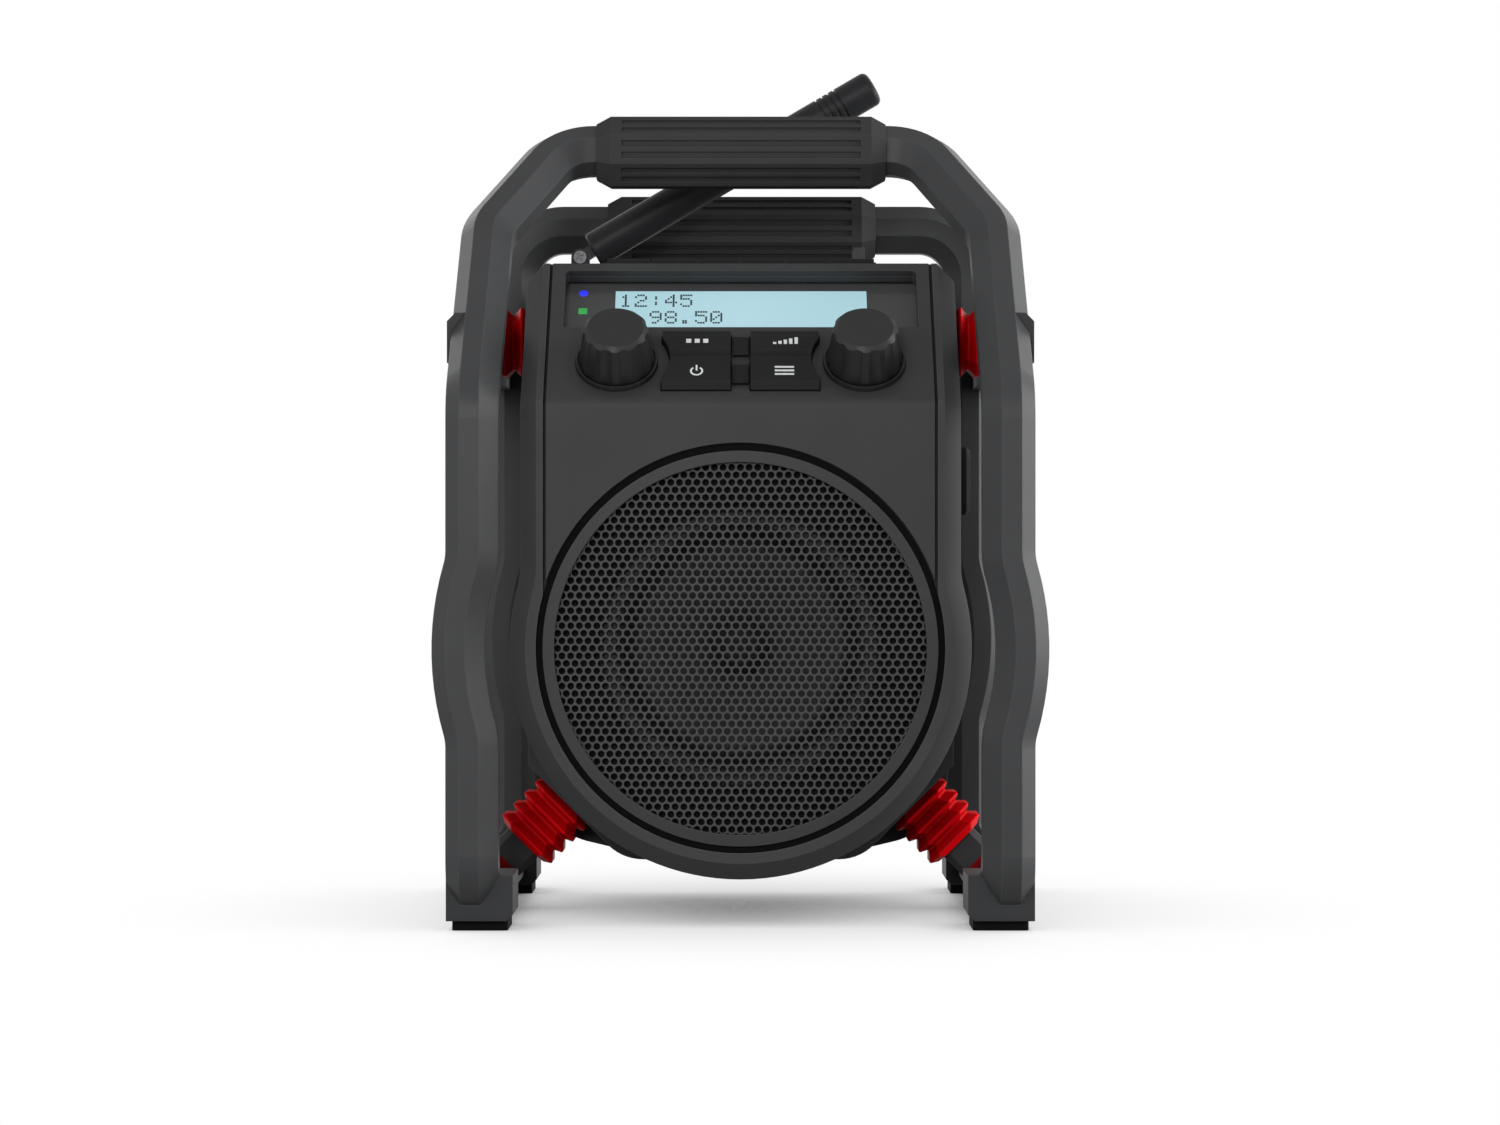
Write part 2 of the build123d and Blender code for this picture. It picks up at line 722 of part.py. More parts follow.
def make_grille():
    """Perforated steel disc, holes in triangular pitch."""
    radius = grille_radius
    rows = int(radius / (grille_pitch * sqrt(3) / 2)) + 1
    columns = int(radius / grille_pitch) + 1
    limit = speaker_hole_radius - grille_hole_radius
    spots = []
    for row in range(-rows, rows + 1):
        shift = grille_pitch / 2 if row % 2 else 0
        for column in range(-columns, columns + 1):
            x, z = column * grille_pitch + shift, row * grille_pitch * sqrt(3) / 2
            if sqrt(x * x + z * z) < limit:
                spots.append((x, z))
    holes = [Pos(x, z) * Circle(grille_hole_radius) for x, z in spots]
    disc = Circle(radius) - holes
    return slab(Pos(0, speaker_z) * disc, fascia_floor_y - grille_sheet, fascia_floor_y)


def ring_y(outer, inner, y0, y1):
    """A flat ring around the speaker's axis."""
    return rod_y(0, speaker_z, outer, y0, y1) - rod_y(0, speaker_z, inner, y0 - 1, y1 + 1)


def turned_y(points, y0):
    """A body of revolution about the speaker's axis; points are radius and distance behind y0."""
    shape = revolve(Plane.XZ * make_face(Polyline(*points, close=True)), axis=Axis.Z)
    return Pos(0, y0, speaker_z) * Rot(-90, 0, 0) * shape


def make_rear_shell():
    haunch_y = bellows_size / 2 + haunch_gap
    outer = slab(casing_outline(0), split_y, body_rear_y) + slab(haunch_outline(0), haunch_y, body_rear_y)
    outer = chamfer(outer.faces().sort_by(Axis.Y)[-1].edges(), rear_edge_chamfer)
    hollow = slab(casing_outline(wall), split_y - 1, body_rear_y - wall - 1)
    hollow += slab(haunch_outline(wall), haunch_y + wall, body_rear_y - wall - 1)
    shell = outer - hollow
    shell += slab(casing_outline(wall / 2) - tombstone(wall + closing_lip), split_y, split_y + closing_lip)
    bay_front = body_rear_y - bay_depth
    tray = block(-bay_half_width - 2, bay_half_width + 2, bay_front - 2, body_rear_y - 1, bay_bottom_z - 2, bay_top_z + 2)
    shell += tray & slab(casing_outline(wall / 2), split_y, body_rear_y)
    shell -= block(-bay_half_width, bay_half_width, bay_front, body_rear_y + 1, bay_bottom_z, bay_top_z)
    for side in (-1, 1):
        x0, x1 = side * hinge_x - hinge_arm / 2 - door_gap, side * hinge_x + hinge_arm / 2 + door_gap
        notch = hinge_radius + door_gap
        shell -= block(x0, x1, hinge_y - notch, body_rear_y + 1, hinge_z - notch, bay_bottom_z + 1)
        for lug_x0 in (x0 - hinge_lug, x1):
            lug = rod_x(hinge_y, hinge_z, hinge_radius, lug_x0, lug_x0 + hinge_lug)
            shell += lug - rod_x(hinge_y, hinge_z, hinge_pin_radius, lug_x0 - 1, lug_x0 + hinge_lug + 1)
            shell -= rod_x(hinge_y, hinge_z, hinge_pin_radius, lug_x0, lug_x0 + hinge_lug)
    for x, z in main_board_corners():
        shell += rod_y(x, z, 3.5, body_rear_y - wall - 1 - main_board_stand, body_rear_y - wall - 1)
    for x, z in screw_spots():
        shell -= rod_y(x, z, screw_head_radius + screw_fit, body_rear_y - screw_recess, body_rear_y + 1)
    shell -= socket_holes()
    return shell


def main_board_corners():
    x, low, high = main_board_half_width - 6, main_board_bottom_z + 6, main_board_top_z - 6
    return [(-x, low), (x, low), (-x, high), (x, high)]


def screw_spots():
    x, high, low = body_half_width - screw_side_inset, body_top_z - screw_top_inset, body_bottom_z + screw_bottom_inset
    return [(-x, high), (x, high), (-x, screw_middle_z), (x, screw_middle_z), (-screw_low_x, low), (screw_low_x, low)]


def socket_holes():
    mid_z = cover_bottom_z + cover_height / 2
    x0 = body_half_width - wall - 1
    power = rod_x(cover_y - socket_pitch / 2, mid_z, power_radius, x0, body_half_width + 1)
    audio = rod_x(cover_y + socket_pitch / 2, mid_z, audio_radius, x0, body_half_width + 1)
    return power + audio


def make_battery_door():
    g = door_gap
    plate = block(-bay_half_width + g, bay_half_width - g, body_rear_y - wall, body_rear_y, bay_bottom_z + g, bay_top_z - g)
    for side in (-1, 1):
        x0, x1 = side * hinge_x - hinge_arm / 2, side * hinge_x + hinge_arm / 2
        arm = block(x0, x1, body_rear_y - 1.6, hinge_y + 1.6, hinge_z, bay_bottom_z + g + 1)
        arm += rod_x(hinge_y, hinge_z, hinge_radius, x0, x1)
        plate += arm - rod_x(hinge_y, hinge_z, hinge_pin_radius + hinge_pin_fit, x0 - 1, x1 + 1)
        plate -= rod_x(hinge_y, hinge_z, hinge_pin_radius + hinge_pin_fit, x0 - 1, x1 + 1)
    lock_z = bay_top_z - lock_drop
    plate -= rod_y(0, lock_z, lock_radius + lock_fit, body_rear_y - 1.6, body_rear_y + 1)
    plate -= rod_y(0, lock_z, 2.5 + lock_fit, body_rear_y - wall - 1, body_rear_y)
    vent_reach = bay_half_width - door_vent_margin
    for i in range(door_vents):
        z = bay_bottom_z + door_vent_rise + i * door_vent_pitch
        plate -= block(-vent_reach, vent_reach, body_rear_y - door_vent_depth, body_rear_y + 1, z, z + door_vent_width)
    return plate


def make_door_lock():
    lock_z = bay_top_z - lock_drop
    head = rod_y(0, lock_z, lock_radius, body_rear_y - 1.6, body_rear_y + 0.4)
    head -= block(-4.5, 4.5, body_rear_y - 0.6, body_rear_y + 1, lock_z - 0.8, lock_z + 0.8)
    return head + rod_y(0, lock_z, 2.5, body_rear_y - wall - 1.4, body_rear_y - 1.6)


# ---------------------------------------------------------------- antenna, drawn level, then raised
def raised(shape):
    """Turn a shape about the antenna's pivot from level to its rest angle."""
    pivot = Pos(antenna_x, antenna_y, antenna_z)
    return pivot * Rot(0, -antenna_rest, 0) * shape


def make_antenna_base():
    half = tongue_thickness / 2
    foot_z = body_top_z + tongue_foot_height
    foot = block(antenna_x - tongue_foot, antenna_x + tongue_foot, antenna_y - 2 * half, antenna_y + 2 * half,
                 body_top_z, foot_z)
    tongue = rod_y(antenna_x, antenna_z, tongue_radius, antenna_y - half, antenna_y + half)
    tongue += block(antenna_x - tongue_radius, antenna_x + tongue_radius, antenna_y - half, antenna_y + half,
                    foot_z, antenna_z)
    bore = rod_y(antenna_x, antenna_z, antenna_pin_radius + antenna_pin_fit, antenna_y - 5, antenna_y + 5)
    return foot + tongue - bore


def make_antenna_fork():
    """Two metal cheeks on either side of the tongue, joined by a stem inside the stub."""
    shape = None
    inner = tongue_thickness / 2 + fork_gap
    for side in (-1, 1):
        y = side * (inner + fork_thickness / 2)
        cheek = Pos(0, y, 0) * Rot(90, 0, 0) * Cylinder(3.4, fork_thickness)
        cheek += Pos(antenna_neck / 2, y, 0) * Box(antenna_neck, fork_thickness, 4.4)
        shape = cheek if shape is None else shape + cheek
    reach = tongue_radius + 0.8
    shape += Pos((reach + antenna_neck) / 2, 0, 0) * Box(antenna_neck - reach, 2 * inner + 2 * fork_thickness, 4.4)
    shape += Pos(antenna_neck + 5, 0, 0) * Rot(0, 90, 0) * Cylinder(3.0, 10)
    shape -= Rot(90, 0, 0) * Cylinder(antenna_pin_radius, 20)
    return raised(shape)


def make_antenna_rod():
    half = antenna_length - antenna_neck
    rod = Pos(antenna_neck + half / 2, 0, 0) * Rot(0, 90, 0) * Cylinder(antenna_radius, half)
    rod = fillet(rod.edges().sort_by(Axis.X)[-1], 2.4)
    rod = chamfer(rod.edges().filter_by(GeomType.CIRCLE).sort_by(Axis.X)[0], 0.8)
    for i in range(4):
        x = antenna_length - 22.0 + i * 2.6
        ring = Pos(x, 0, 0) * Rot(0, 90, 0) * (Cylinder(antenna_radius + 1, 0.9) - Cylinder(antenna_radius - 0.5, 2))
        rod -= ring
    rod -= Pos(antenna_neck + 5, 0, 0) * Rot(0, 90, 0) * Cylinder(3.0, 10)
    return raised(rod)


def make_antenna_screw():
    inner = tongue_thickness / 2 + fork_gap + fork_thickness
    pin = Rot(90, 0, 0) * Cylinder(antenna_pin_radius, 2 * inner)
    head = Pos(0, -inner - 0.6, 0) * Rot(90, 0, 0) * Cylinder(2.5, 1.2)
    for turn in (0, 90):
        head -= Pos(0, -inner - 1.2, 0) * Rot(0, turn, 0) * Box(3.2, 1.0, 0.6)
    tail = Pos(0, inner + 0.4, 0) * Rot(90, 0, 0) * Cylinder(2.3, 0.8)
    return raised(pin + head + tail)


def make_antenna_clip():
    """Open cradle that the antenna lies in when it is folded down."""
    inner = antenna_radius + clip_fit
    outer = inner + clip_wall
    x0, x1 = clip_x - clip_thickness / 2, clip_x + clip_thickness / 2
    shape = block(x0, x1, antenna_y - outer, antenna_y + outer, body_top_z, clip_top_z)
    shape -= rod_x(antenna_y, antenna_z, inner, x0 - 1, x1 + 1)
    return shape - block(x0 - 1, x1 + 1, antenna_y - inner, antenna_y + inner, antenna_z, clip_top_z + 1)


# ---------------------------------------------------------------- build and write
os.makedirs("parts", exist_ok=True)

front_frame = trim_stub(make_front_frame(), front_axis_y, 1)
rear_frame = trim_stub(make_rear_frame(), rear_axis_y, -1)

bolt_spots = [(front_bolt_y, bolt_z), (rear_bolt_y, bolt_z)]
bolts = [bridge_bolt(y, z) for y, z in bolt_spots]
bolt_holes = [bridge_bolt(y, z, bolt_fit) for y, z in bolt_spots]

bridge_right = make_bridge(front_frame, rear_frame, bolt_holes)
for hole in bolt_holes:
    front_frame = front_frame - hole - mirrored(hole)
    rear_frame = rear_frame - hole - mirrored(hole)
save("front_frame", front_frame)
save("rear_frame", rear_frame)
save("side_bridge_right", bridge_right)
save("side_bridge_left", mirrored(bridge_right))
save("cage_bolts", *bolts, *[mirrored(b) for b in bolts])

lean = radians(front_lean)
front_bar = Plane(origin=(0, front_top_y, front_top_z), x_dir=(0, sin(lean), cos(lean)), z_dir=(1, 0, 0))
rear_bar = Plane(origin=(0, rear_axis_y, rear_top_z), x_dir=(0, 0, 1), z_dir=(1, 0, 0))
save("front_grip", make_grip(front_grip_half, front_top_y, front_top_z) - grip_bore(front_bar, front_grip_half))
save("rear_grip", make_grip(rear_grip_half, rear_axis_y, rear_top_z) - grip_bore(rear_bar, rear_grip_half))

foot_front_right = make_foot(foot_front_y, foot_front_y + foot_length, front_frame)
foot_rear_right = make_foot(-foot_front_y - foot_length, -foot_front_y, rear_frame)
save("foot_blocks_front", foot_front_right, mirrored(foot_front_right))
save("foot_blocks_rear", foot_rear_right, mirrored(foot_rear_right))
pad_y = foot_front_y + foot_length / 2
pads = [make_pad(pad_y), make_pad(-pad_y)]
save("foot_pads", *pads, *[mirrored(p) for p in pads])
rail_right = make_rail()
save("lower_rail_right", rail_right)
save("lower_rail_left", mirrored(rail_right))

upper_seat = Plane(origin=(body_half_width + seat_gap, 0, bellows_axis_z), x_dir=(0, 1, 0), z_dir=(1, 0, 0))
upper_length = bridge_inner_x - body_half_width - 2 * seat_gap
upper_bellows = bellows(upper_seat, upper_ribs, upper_rib_pitch, upper_length, upper_crest_share)
save("upper_bellows_right", upper_bellows)
save("upper_bellows_left", mirrored(upper_bellows))

# The lower bellows, strut and collar stand in line between the body's cut corner and the rail's seat.
corner_sum = body_half_width - body_bottom_z - body_corner_chamfer
rail_sum = rail_inner_x - rail_top_z + rail_seat_chamfer
lower_span = (rail_sum - corner_sum) / sqrt(2)
lower_length = lower_ribs * lower_rib_pitch
axis_start_x = (corner_sum + speaker_z + 7.0) / 2
axis_start_z = axis_start_x - corner_sum
lower_axis = Plane(origin=(axis_start_x, 0, axis_start_z), x_dir=(0, 1, 0), z_dir=(1, 0, -1))
lower_seat = lower_axis.offset(seat_gap)
lower_bellows = bellows(lower_seat, lower_ribs, lower_rib_pitch, lower_length, lower_crest_share)
strut_start = lower_length + seat_gap
strut_end = lower_span - collar_length
strut = extrude(lower_axis.offset(strut_start) * cut_square(strut_size, strut_corner), amount=strut_end - strut_start)
collar = extrude(lower_axis.offset(strut_end) * cut_square(collar_size, strut_corner), amount=collar_length)
collar -= rail_right
save("lower_bellows_right", lower_bellows)
save("lower_bellows_left", mirrored(lower_bellows))
save("struts", strut, mirrored(strut))
save("strut_collars", collar, mirrored(collar))

save("front_shell", make_front_shell())
save("rear_shell", make_rear_shell())
save("control_fascia", make_fascia())
bezel = ring_y(bezel_outer_radius, bezel_inner_radius, body_front_y, fascia_floor_y)
rebate = ring_y(grille_radius + grille_fit, bezel_inner_radius - 1, fascia_floor_y - grille_sheet, fascia_floor_y + 1)
save("speaker_bezel", bezel - rebate)
save("speaker_grille", make_grille())

screws = []
for x, z in screw_spots():
    head = rod_y(x, z, screw_head_radius, body_rear_y - screw_recess, body_rear_y - 0.1)
    screws.append(head - rod_y(x, z, screw_drive_radius, body_rear_y - screw_recess / 2, body_rear_y + 1))
save("shell_screws", *screws)

window = on_panel(
    0, (display_bottom + display_top) / 2, -inner_front - window_thickness, -inner_front,
    Rectangle(2 * (display_half_width + window_margin), display_top - display_bottom + 2 * window_margin),
)
save("display_window", window)
lcd_low = -inner_front - window_thickness - lcd_depth
lcd = on_panel(0, (lcd_bottom + lcd_top) / 2, lcd_low, lcd_low + lcd_depth, Rectangle(2 * lcd_half_width, lcd_top - lcd_bottom))
save("lcd_module", lcd)
lights = [on_panel(light_x, up, lcd_low + 1.0, lcd_low + lcd_depth, Rectangle(light_size, light_size)) for up in light_heights]
save("indicator_battery_light", lights[0])
save("indicator_wireless_light", lights[1])

knob = make_knob()
ring_points = [
    (bushing_radius + button_fit, 0), (knob_ring_radius, 0), (knob_ring_radius - 0.4, knob_ring_height),
    (knob_base_radius + 0.5, knob_ring_height), (knob_base_radius + 0.5, knob_ring_floor),
    (bushing_radius + button_fit, knob_ring_floor),
]
knob_ring = revolve(Plane.XZ * make_face(Polyline(*ring_points, close=True)), axis=Axis.Z)
bushing = Pos(0, 0, -shaft_reach / 2) * Cylinder(bushing_radius, shaft_reach)
encoder_top = -7.0
encoder_bottom = board_thickness - board_offset
case = Pos(0, 0, (encoder_top + encoder_bottom) / 2) * Box(encoder_size, encoder_size, encoder_top - encoder_bottom)
encoder = bushing + case - Pos(0, 0, -shaft_reach / 2) * Cylinder(shaft_radius + shaft_fit, shaft_reach + 0.2)
for side, name in ((-1, "volume"), (1, "tuning")):
    save(name + "_knob", knob_place(side) * Pos(0, 0, knob_lift) * knob)
save("encoders", *[knob_place(side) * encoder for side in (-1, 1)])
save("knob_rings", *[knob_place(side) * knob_ring for side in (-1, 1)])

names = {(-1, 0): "button_lower_left", (1, 0): "button_lower_right", (-1, 1): "button_upper_left", (1, 1): "button_upper_right"}
switches = []
for (side, row), name in names.items():
    low, high = button_rows[row]
    save(name, make_button(side, low, high))
    x, up = side * (button_gap_half + button_width / 2), (low + high) / 2
    top = -(board_offset - board_thickness - 3.0) - button_travel - switch_clearance
    switches.append(on_panel(x, up, encoder_bottom, top, Rectangle(6, 6)))
pads_up = [(low + high) / 2 for low, high in button_rows]
pad_tops = [on_panel(0, up, 0, centre_pad_height, Rectangle(centre_pad_width, 9.0)) for up in pads_up]
save("centre_pads", *pad_tops)
board_mid = (board_bottom + board_top) / 2
key_board = on_panel(0, board_mid, -board_offset, encoder_bottom, Rectangle(2 * board_half_width, board_top - board_bottom))
for x in (-board_half_width + 4, board_half_width - 4):
    for up in (board_bottom + 4, board_top - 4):
        key_board -= on_panel(x, up, -board_offset - 1, 0, Circle(3.05))
save("key_board", key_board)
save("tact_switches", *switches)

flange_y = body_front_y + inner_front
basket_points = [
    (driver_opening_radius, 0), (basket_radius, 0), (basket_radius, flange_thickness),
    (driver_opening_radius + 2, flange_thickness), (basket_back_radius, basket_depth),
    (coil_radius + 1.6, basket_depth), (coil_radius + 1.6, basket_depth - 2),
    (basket_back_radius - 1, basket_depth - 2), (driver_opening_radius, flange_thickness),
]
save("speaker_basket", turned_y(basket_points, flange_y))
ring_in = driver_opening_radius - surround_width
surround_points = [
    (ring_in, 0.5), (ring_in + 2.5, -1.5), (ring_in + surround_width - 2.5, -1.5),
    (driver_opening_radius, 0.5), (driver_opening_radius, 1.5), (ring_in, 1.5),
]
save("speaker_surround", turned_y(surround_points, flange_y))
cone_points = [
    (ring_in, 0.5), (ring_in, 1.5), (coil_radius, cone_depth + 1),
    (coil_radius, basket_depth + magnet_thickness - 6), (coil_radius - 0.8, basket_depth + magnet_thickness - 6),
    (coil_radius - 0.8, cone_depth),
]
save("speaker_cone", turned_y(cone_points, flange_y))
cap_points = [(0, cone_depth - 7), (6, cone_depth - 6), (coil_radius - 1.6, cone_depth - 2), (coil_radius - 0.8, cone_depth), (0, cone_depth)]
save("dust_cap", turned_y(cap_points, flange_y))
magnet_points = [
    (coil_radius + coil_gap, basket_depth), (magnet_radius, basket_depth),
    (magnet_radius, basket_depth + magnet_thickness), (0, basket_depth + magnet_thickness),
    (0, basket_depth + 1), (coil_radius - 0.8 - coil_gap, basket_depth + 1),
    (coil_radius - 0.8 - coil_gap, basket_depth + magnet_thickness - 3),
    (coil_radius + coil_gap, basket_depth + magnet_thickness - 3),
]
save("speaker_magnet", turned_y(magnet_points, flange_y))

save("battery_door", make_battery_door())
save("battery_door_lock", make_door_lock())
pins = [rod_x(hinge_y, hinge_z, hinge_pin_radius, hinge_x - hinge_pin_reach, hinge_x + hinge_pin_reach)]
save("battery_door_pins", *pins, *[mirrored(p) for p in pins])
cell_y = body_rear_y - bay_depth + cell_radius + 1.0
cell_z = bay_top_z - contact_thickness - cell_length / 2
cell_xs = [i * cell_pitch - cell_span for i in range(cell_count)]
cells = [Pos(x, cell_y, cell_z) * Cylinder(cell_radius, cell_length) for x in cell_xs]
save("battery_cells", *cells)
contacts = []
for x in cell_xs:
    contacts.append(Pos(x, cell_y, bay_top_z - contact_thickness / 2) * Box(contact_size, contact_size, contact_thickness))
    spring_height = cell_z - cell_length / 2 - bay_bottom_z
    spring = Cylinder(spring_radius, spring_height) - Cylinder(spring_radius - spring_wall, spring_height)
    contacts.append(Pos(x, cell_y, bay_bottom_z + spring_height / 2) * spring)
save("battery_contacts", *contacts)

board_rear = body_rear_y - wall - 1 - main_board_stand
save("main_board", block(
    -main_board_half_width, main_board_half_width, board_rear - board_thickness, board_rear,
    main_board_bottom_z, main_board_top_z,
))

cover_x = body_half_width + seat_gap
cover = block(cover_x, cover_x + cover_thickness, cover_y - cover_length / 2, cover_y + cover_length / 2,
              cover_bottom_z, cover_bottom_z + cover_height)
cover = fillet(cover.edges().filter_by(Axis.X), cover_corner)
cover = chamfer(cover.faces().sort_by(Axis.X)[-1].edges(), cover_edge)
save("socket_cover", cover)
mid_z = cover_bottom_z + cover_height / 2
inside_x = body_half_width - wall
power_y, audio_y = cover_y - socket_pitch / 2, cover_y + socket_pitch / 2
flush_x = body_half_width - 0.4


def socket(y, radius, bore, depth):
    """A socket: a round collar in the wall and a box behind it."""
    half = radius + 0.5
    shape = rod_x(y, mid_z, radius, inside_x, flush_x)
    shape += block(inside_x - depth, inside_x, y - half, y + half, mid_z - half, mid_z + half)
    return shape - rod_x(y, mid_z, bore, inside_x - depth + 2, body_half_width)


save("power_socket", socket(power_y, power_radius, power_bore, power_depth))
save("audio_socket", socket(audio_y, audio_radius, audio_bore, audio_depth))

save("antenna_base", make_antenna_base())
save("antenna_fork", make_antenna_fork())
save("antenna_rod", make_antenna_rod())
save("antenna_screw", make_antenna_screw())
save("antenna_clip", make_antenna_clip())

mat = block(-mat_half_width, mat_half_width, mat_front_y, mat_rear_y, body_top_z, body_top_z + mat_base)
segment = 2 * mat_half_width / mat_segments
for i in range(mat_segments):
    x0 = -mat_half_width + i * segment + mat_gap / 2
    mat += block(x0, x0 + segment - mat_gap, mat_front_y, mat_rear_y, body_top_z, body_top_z + mat_height)
save("top_mat", mat)
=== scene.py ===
"""Looks of the jobsite radio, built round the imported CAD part. Metres, row frame."""
import json
import math

import bpy
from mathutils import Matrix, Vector


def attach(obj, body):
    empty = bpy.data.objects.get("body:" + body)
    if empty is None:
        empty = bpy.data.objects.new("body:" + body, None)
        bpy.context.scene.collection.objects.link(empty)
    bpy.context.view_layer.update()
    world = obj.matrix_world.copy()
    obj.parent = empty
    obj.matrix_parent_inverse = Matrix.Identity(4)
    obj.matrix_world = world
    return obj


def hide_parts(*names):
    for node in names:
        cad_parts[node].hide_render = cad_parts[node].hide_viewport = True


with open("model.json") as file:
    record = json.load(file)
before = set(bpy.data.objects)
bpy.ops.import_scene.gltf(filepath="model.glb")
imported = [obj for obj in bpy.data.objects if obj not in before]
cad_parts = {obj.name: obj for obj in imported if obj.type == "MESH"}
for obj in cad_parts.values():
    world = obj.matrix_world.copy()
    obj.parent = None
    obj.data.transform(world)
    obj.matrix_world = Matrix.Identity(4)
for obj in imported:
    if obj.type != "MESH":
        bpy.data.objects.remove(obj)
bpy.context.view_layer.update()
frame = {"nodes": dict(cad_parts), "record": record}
nodes = frame["nodes"]
slots = {part["node"]: part["material_slot"] for part in frame["record"]["subparts"]}

MM = 0.001
PANEL_TILT = math.radians(43.5)
PANEL_ORIGIN = Vector((0.0, -0.080, 0.184))
PANEL_UP = Vector((0.0, math.sin(PANEL_TILT), math.cos(PANEL_TILT)))
PANEL_OUT = Vector((0.0, -math.cos(PANEL_TILT), math.sin(PANEL_TILT)))
SPEAKER_Z = 97.7
CONE_RADIUS = 41.0


# ------------------------------------------------------------------ material helpers
CORNER_REACH = 0.008         # how far round a point the painted corner shade looks
CORNER_SHADE = 0.3           # share of the colour the painted shade leaves in the deepest corner
PAINTED_EDGE_HIGHLIGHT = 1.7              # how much lighter a softened edge is painted, as a highlight


class Nodes:
    """A small wrapper round a material's node tree."""

    def __init__(self, name):
        self.material = bpy.data.materials.new(name)
        self.material.use_nodes = True
        self.tree = self.material.node_tree
        self.shader = self.tree.nodes["Principled BSDF"]
        self.coord = self.tree.nodes.new("ShaderNodeTexCoord")

    def new(self, kind, **settings):
        node = self.tree.nodes.new(kind)
        for key, value in settings.items():
            setattr(node, key, value)
        return node

    def link(self, source, target):
        self.tree.links.new(source, target)

    def noise(self, scale, detail=3.0, rough=0.5, stretch=None):
        tex = self.new("ShaderNodeTexNoise")
        tex.inputs["Scale"].default_value = scale
        tex.inputs["Detail"].default_value = detail
        tex.inputs["Roughness"].default_value = rough
        source = self.coord.outputs["Object"]
        if stretch:
            mapping = self.new("ShaderNodeMapping")
            mapping.inputs["Scale"].default_value = stretch
            self.link(source, mapping.inputs["Vector"])
            source = mapping.outputs["Vector"]
        self.link(source, tex.inputs["Vector"])
        return tex.outputs["Fac"]

    def span(self, fac, low, high):
        node = self.new("ShaderNodeMapRange")
        node.inputs["To Min"].default_value = low
        node.inputs["To Max"].default_value = high
        self.link(fac, node.inputs["Value"])
        return node.outputs["Result"]

    def tint(self, fac, low, high):
        ramp = self.new("ShaderNodeValToRGB")
        ramp.color_ramp.elements[0].position = 0.3
        ramp.color_ramp.elements[1].position = 0.7
        ramp.color_ramp.elements[0].color = (*low, 1.0)
        ramp.color_ramp.elements[1].color = (*high, 1.0)
        self.link(fac, ramp.inputs["Fac"])
        return ramp.outputs["Color"]

    def painted_shade_and_highlight(self, colour, edge):
        """Painted shade and painted highlight: the colour a little darker in corners and lighter along
        softened edges.
        """
        corner = self.new("ShaderNodeAmbientOcclusion", samples=8)
        corner.inputs["Distance"].default_value = CORNER_REACH
        shade = self.span(corner.outputs["AO"], CORNER_SHADE, 1.0)
        if edge:
            geometry = self.new("ShaderNodeNewGeometry")
            bevel = self.new("ShaderNodeBevel", samples=6)
            bevel.inputs["Radius"].default_value = edge
            turn = self.new("ShaderNodeVectorMath", operation="DOT_PRODUCT")
            self.link(bevel.outputs["Normal"], turn.inputs[0])
            self.link(geometry.outputs["Normal"], turn.inputs[1])
            painted_highlight = self.new("ShaderNodeMapRange")
            for key, value in (("From Min", 0.9), ("From Max", 1.0), ("To Min", PAINTED_EDGE_HIGHLIGHT), ("To Max", 1.0)):
                painted_highlight.inputs[key].default_value = value
            self.link(turn.outputs["Value"], painted_highlight.inputs["Value"])
            product = self.new("ShaderNodeMath", operation="MULTIPLY")
            self.link(shade, product.inputs[0])
            self.link(painted_highlight.outputs["Result"], product.inputs[1])
            shade = product.outputs[0]
        scaled = self.new("ShaderNodeVectorMath", operation="SCALE")
        self.link(colour, scaled.inputs[0])
        self.link(shade, scaled.inputs["Scale"])
        return scaled.outputs["Vector"]

    def surface_normal(self, height, strength, distance, edge):
        """Bump over softened edges."""
        bump = self.new("ShaderNodeBump")
        bump.inputs["Strength"].default_value = strength
        bump.inputs["Distance"].default_value = distance
        self.link(height, bump.inputs["Height"])
        if edge:
            bevel = self.new("ShaderNodeBevel", samples=6)
            bevel.inputs["Radius"].default_value = edge
            self.link(bevel.outputs["Normal"], bump.inputs["Normal"])
        self.link(bump.outputs["Normal"], self.shader.inputs["Normal"])


def moulded(name, colour, rough=0.45, grain=1500.0, bump=0.12, edge=0.0005, spread=0.06, specular=0.1):
    """Moulded plastic or rubber: fine grain, faint clouding of colour and gloss."""
    n = Nodes(name)
    cloud = n.noise(38.0, 4.0, 0.6)
    low = tuple(c * (1 - spread) for c in colour)
    high = tuple(c * (1 + spread) for c in colour)
    # Base colour with painted shade in corners and a painted highlight along softened edges.
    n.link(n.painted_shade_and_highlight(n.tint(cloud, low, high), edge), n.shader.inputs["Base Color"])
    fine = n.noise(grain, 2.0, 0.6)
    n.link(n.span(fine, rough - 0.05, rough + 0.06), n.shader.inputs["Roughness"])
    n.shader.inputs["Specular IOR Level"].default_value = specular
    n.surface_normal(fine, bump, 0.00008, edge)
    return n.material


def metal(name, colour, rough=0.3, stretch=(1.0, 1.0, 14.0), edge=0.0002):
    """Turned or drawn metal with fine lines."""
    n = Nodes(name)
    n.shader.inputs["Metallic"].default_value = 1.0
    lines = n.noise(900.0, 3.0, 0.5, stretch)
    low = tuple(c * 0.82 for c in colour)
    n.link(n.tint(lines, low, colour), n.shader.inputs["Base Color"])
    n.link(n.span(lines, rough - 0.06, rough + 0.1), n.shader.inputs["Roughness"])
    n.surface_normal(lines, 0.08, 0.00004, edge)
    return n.material


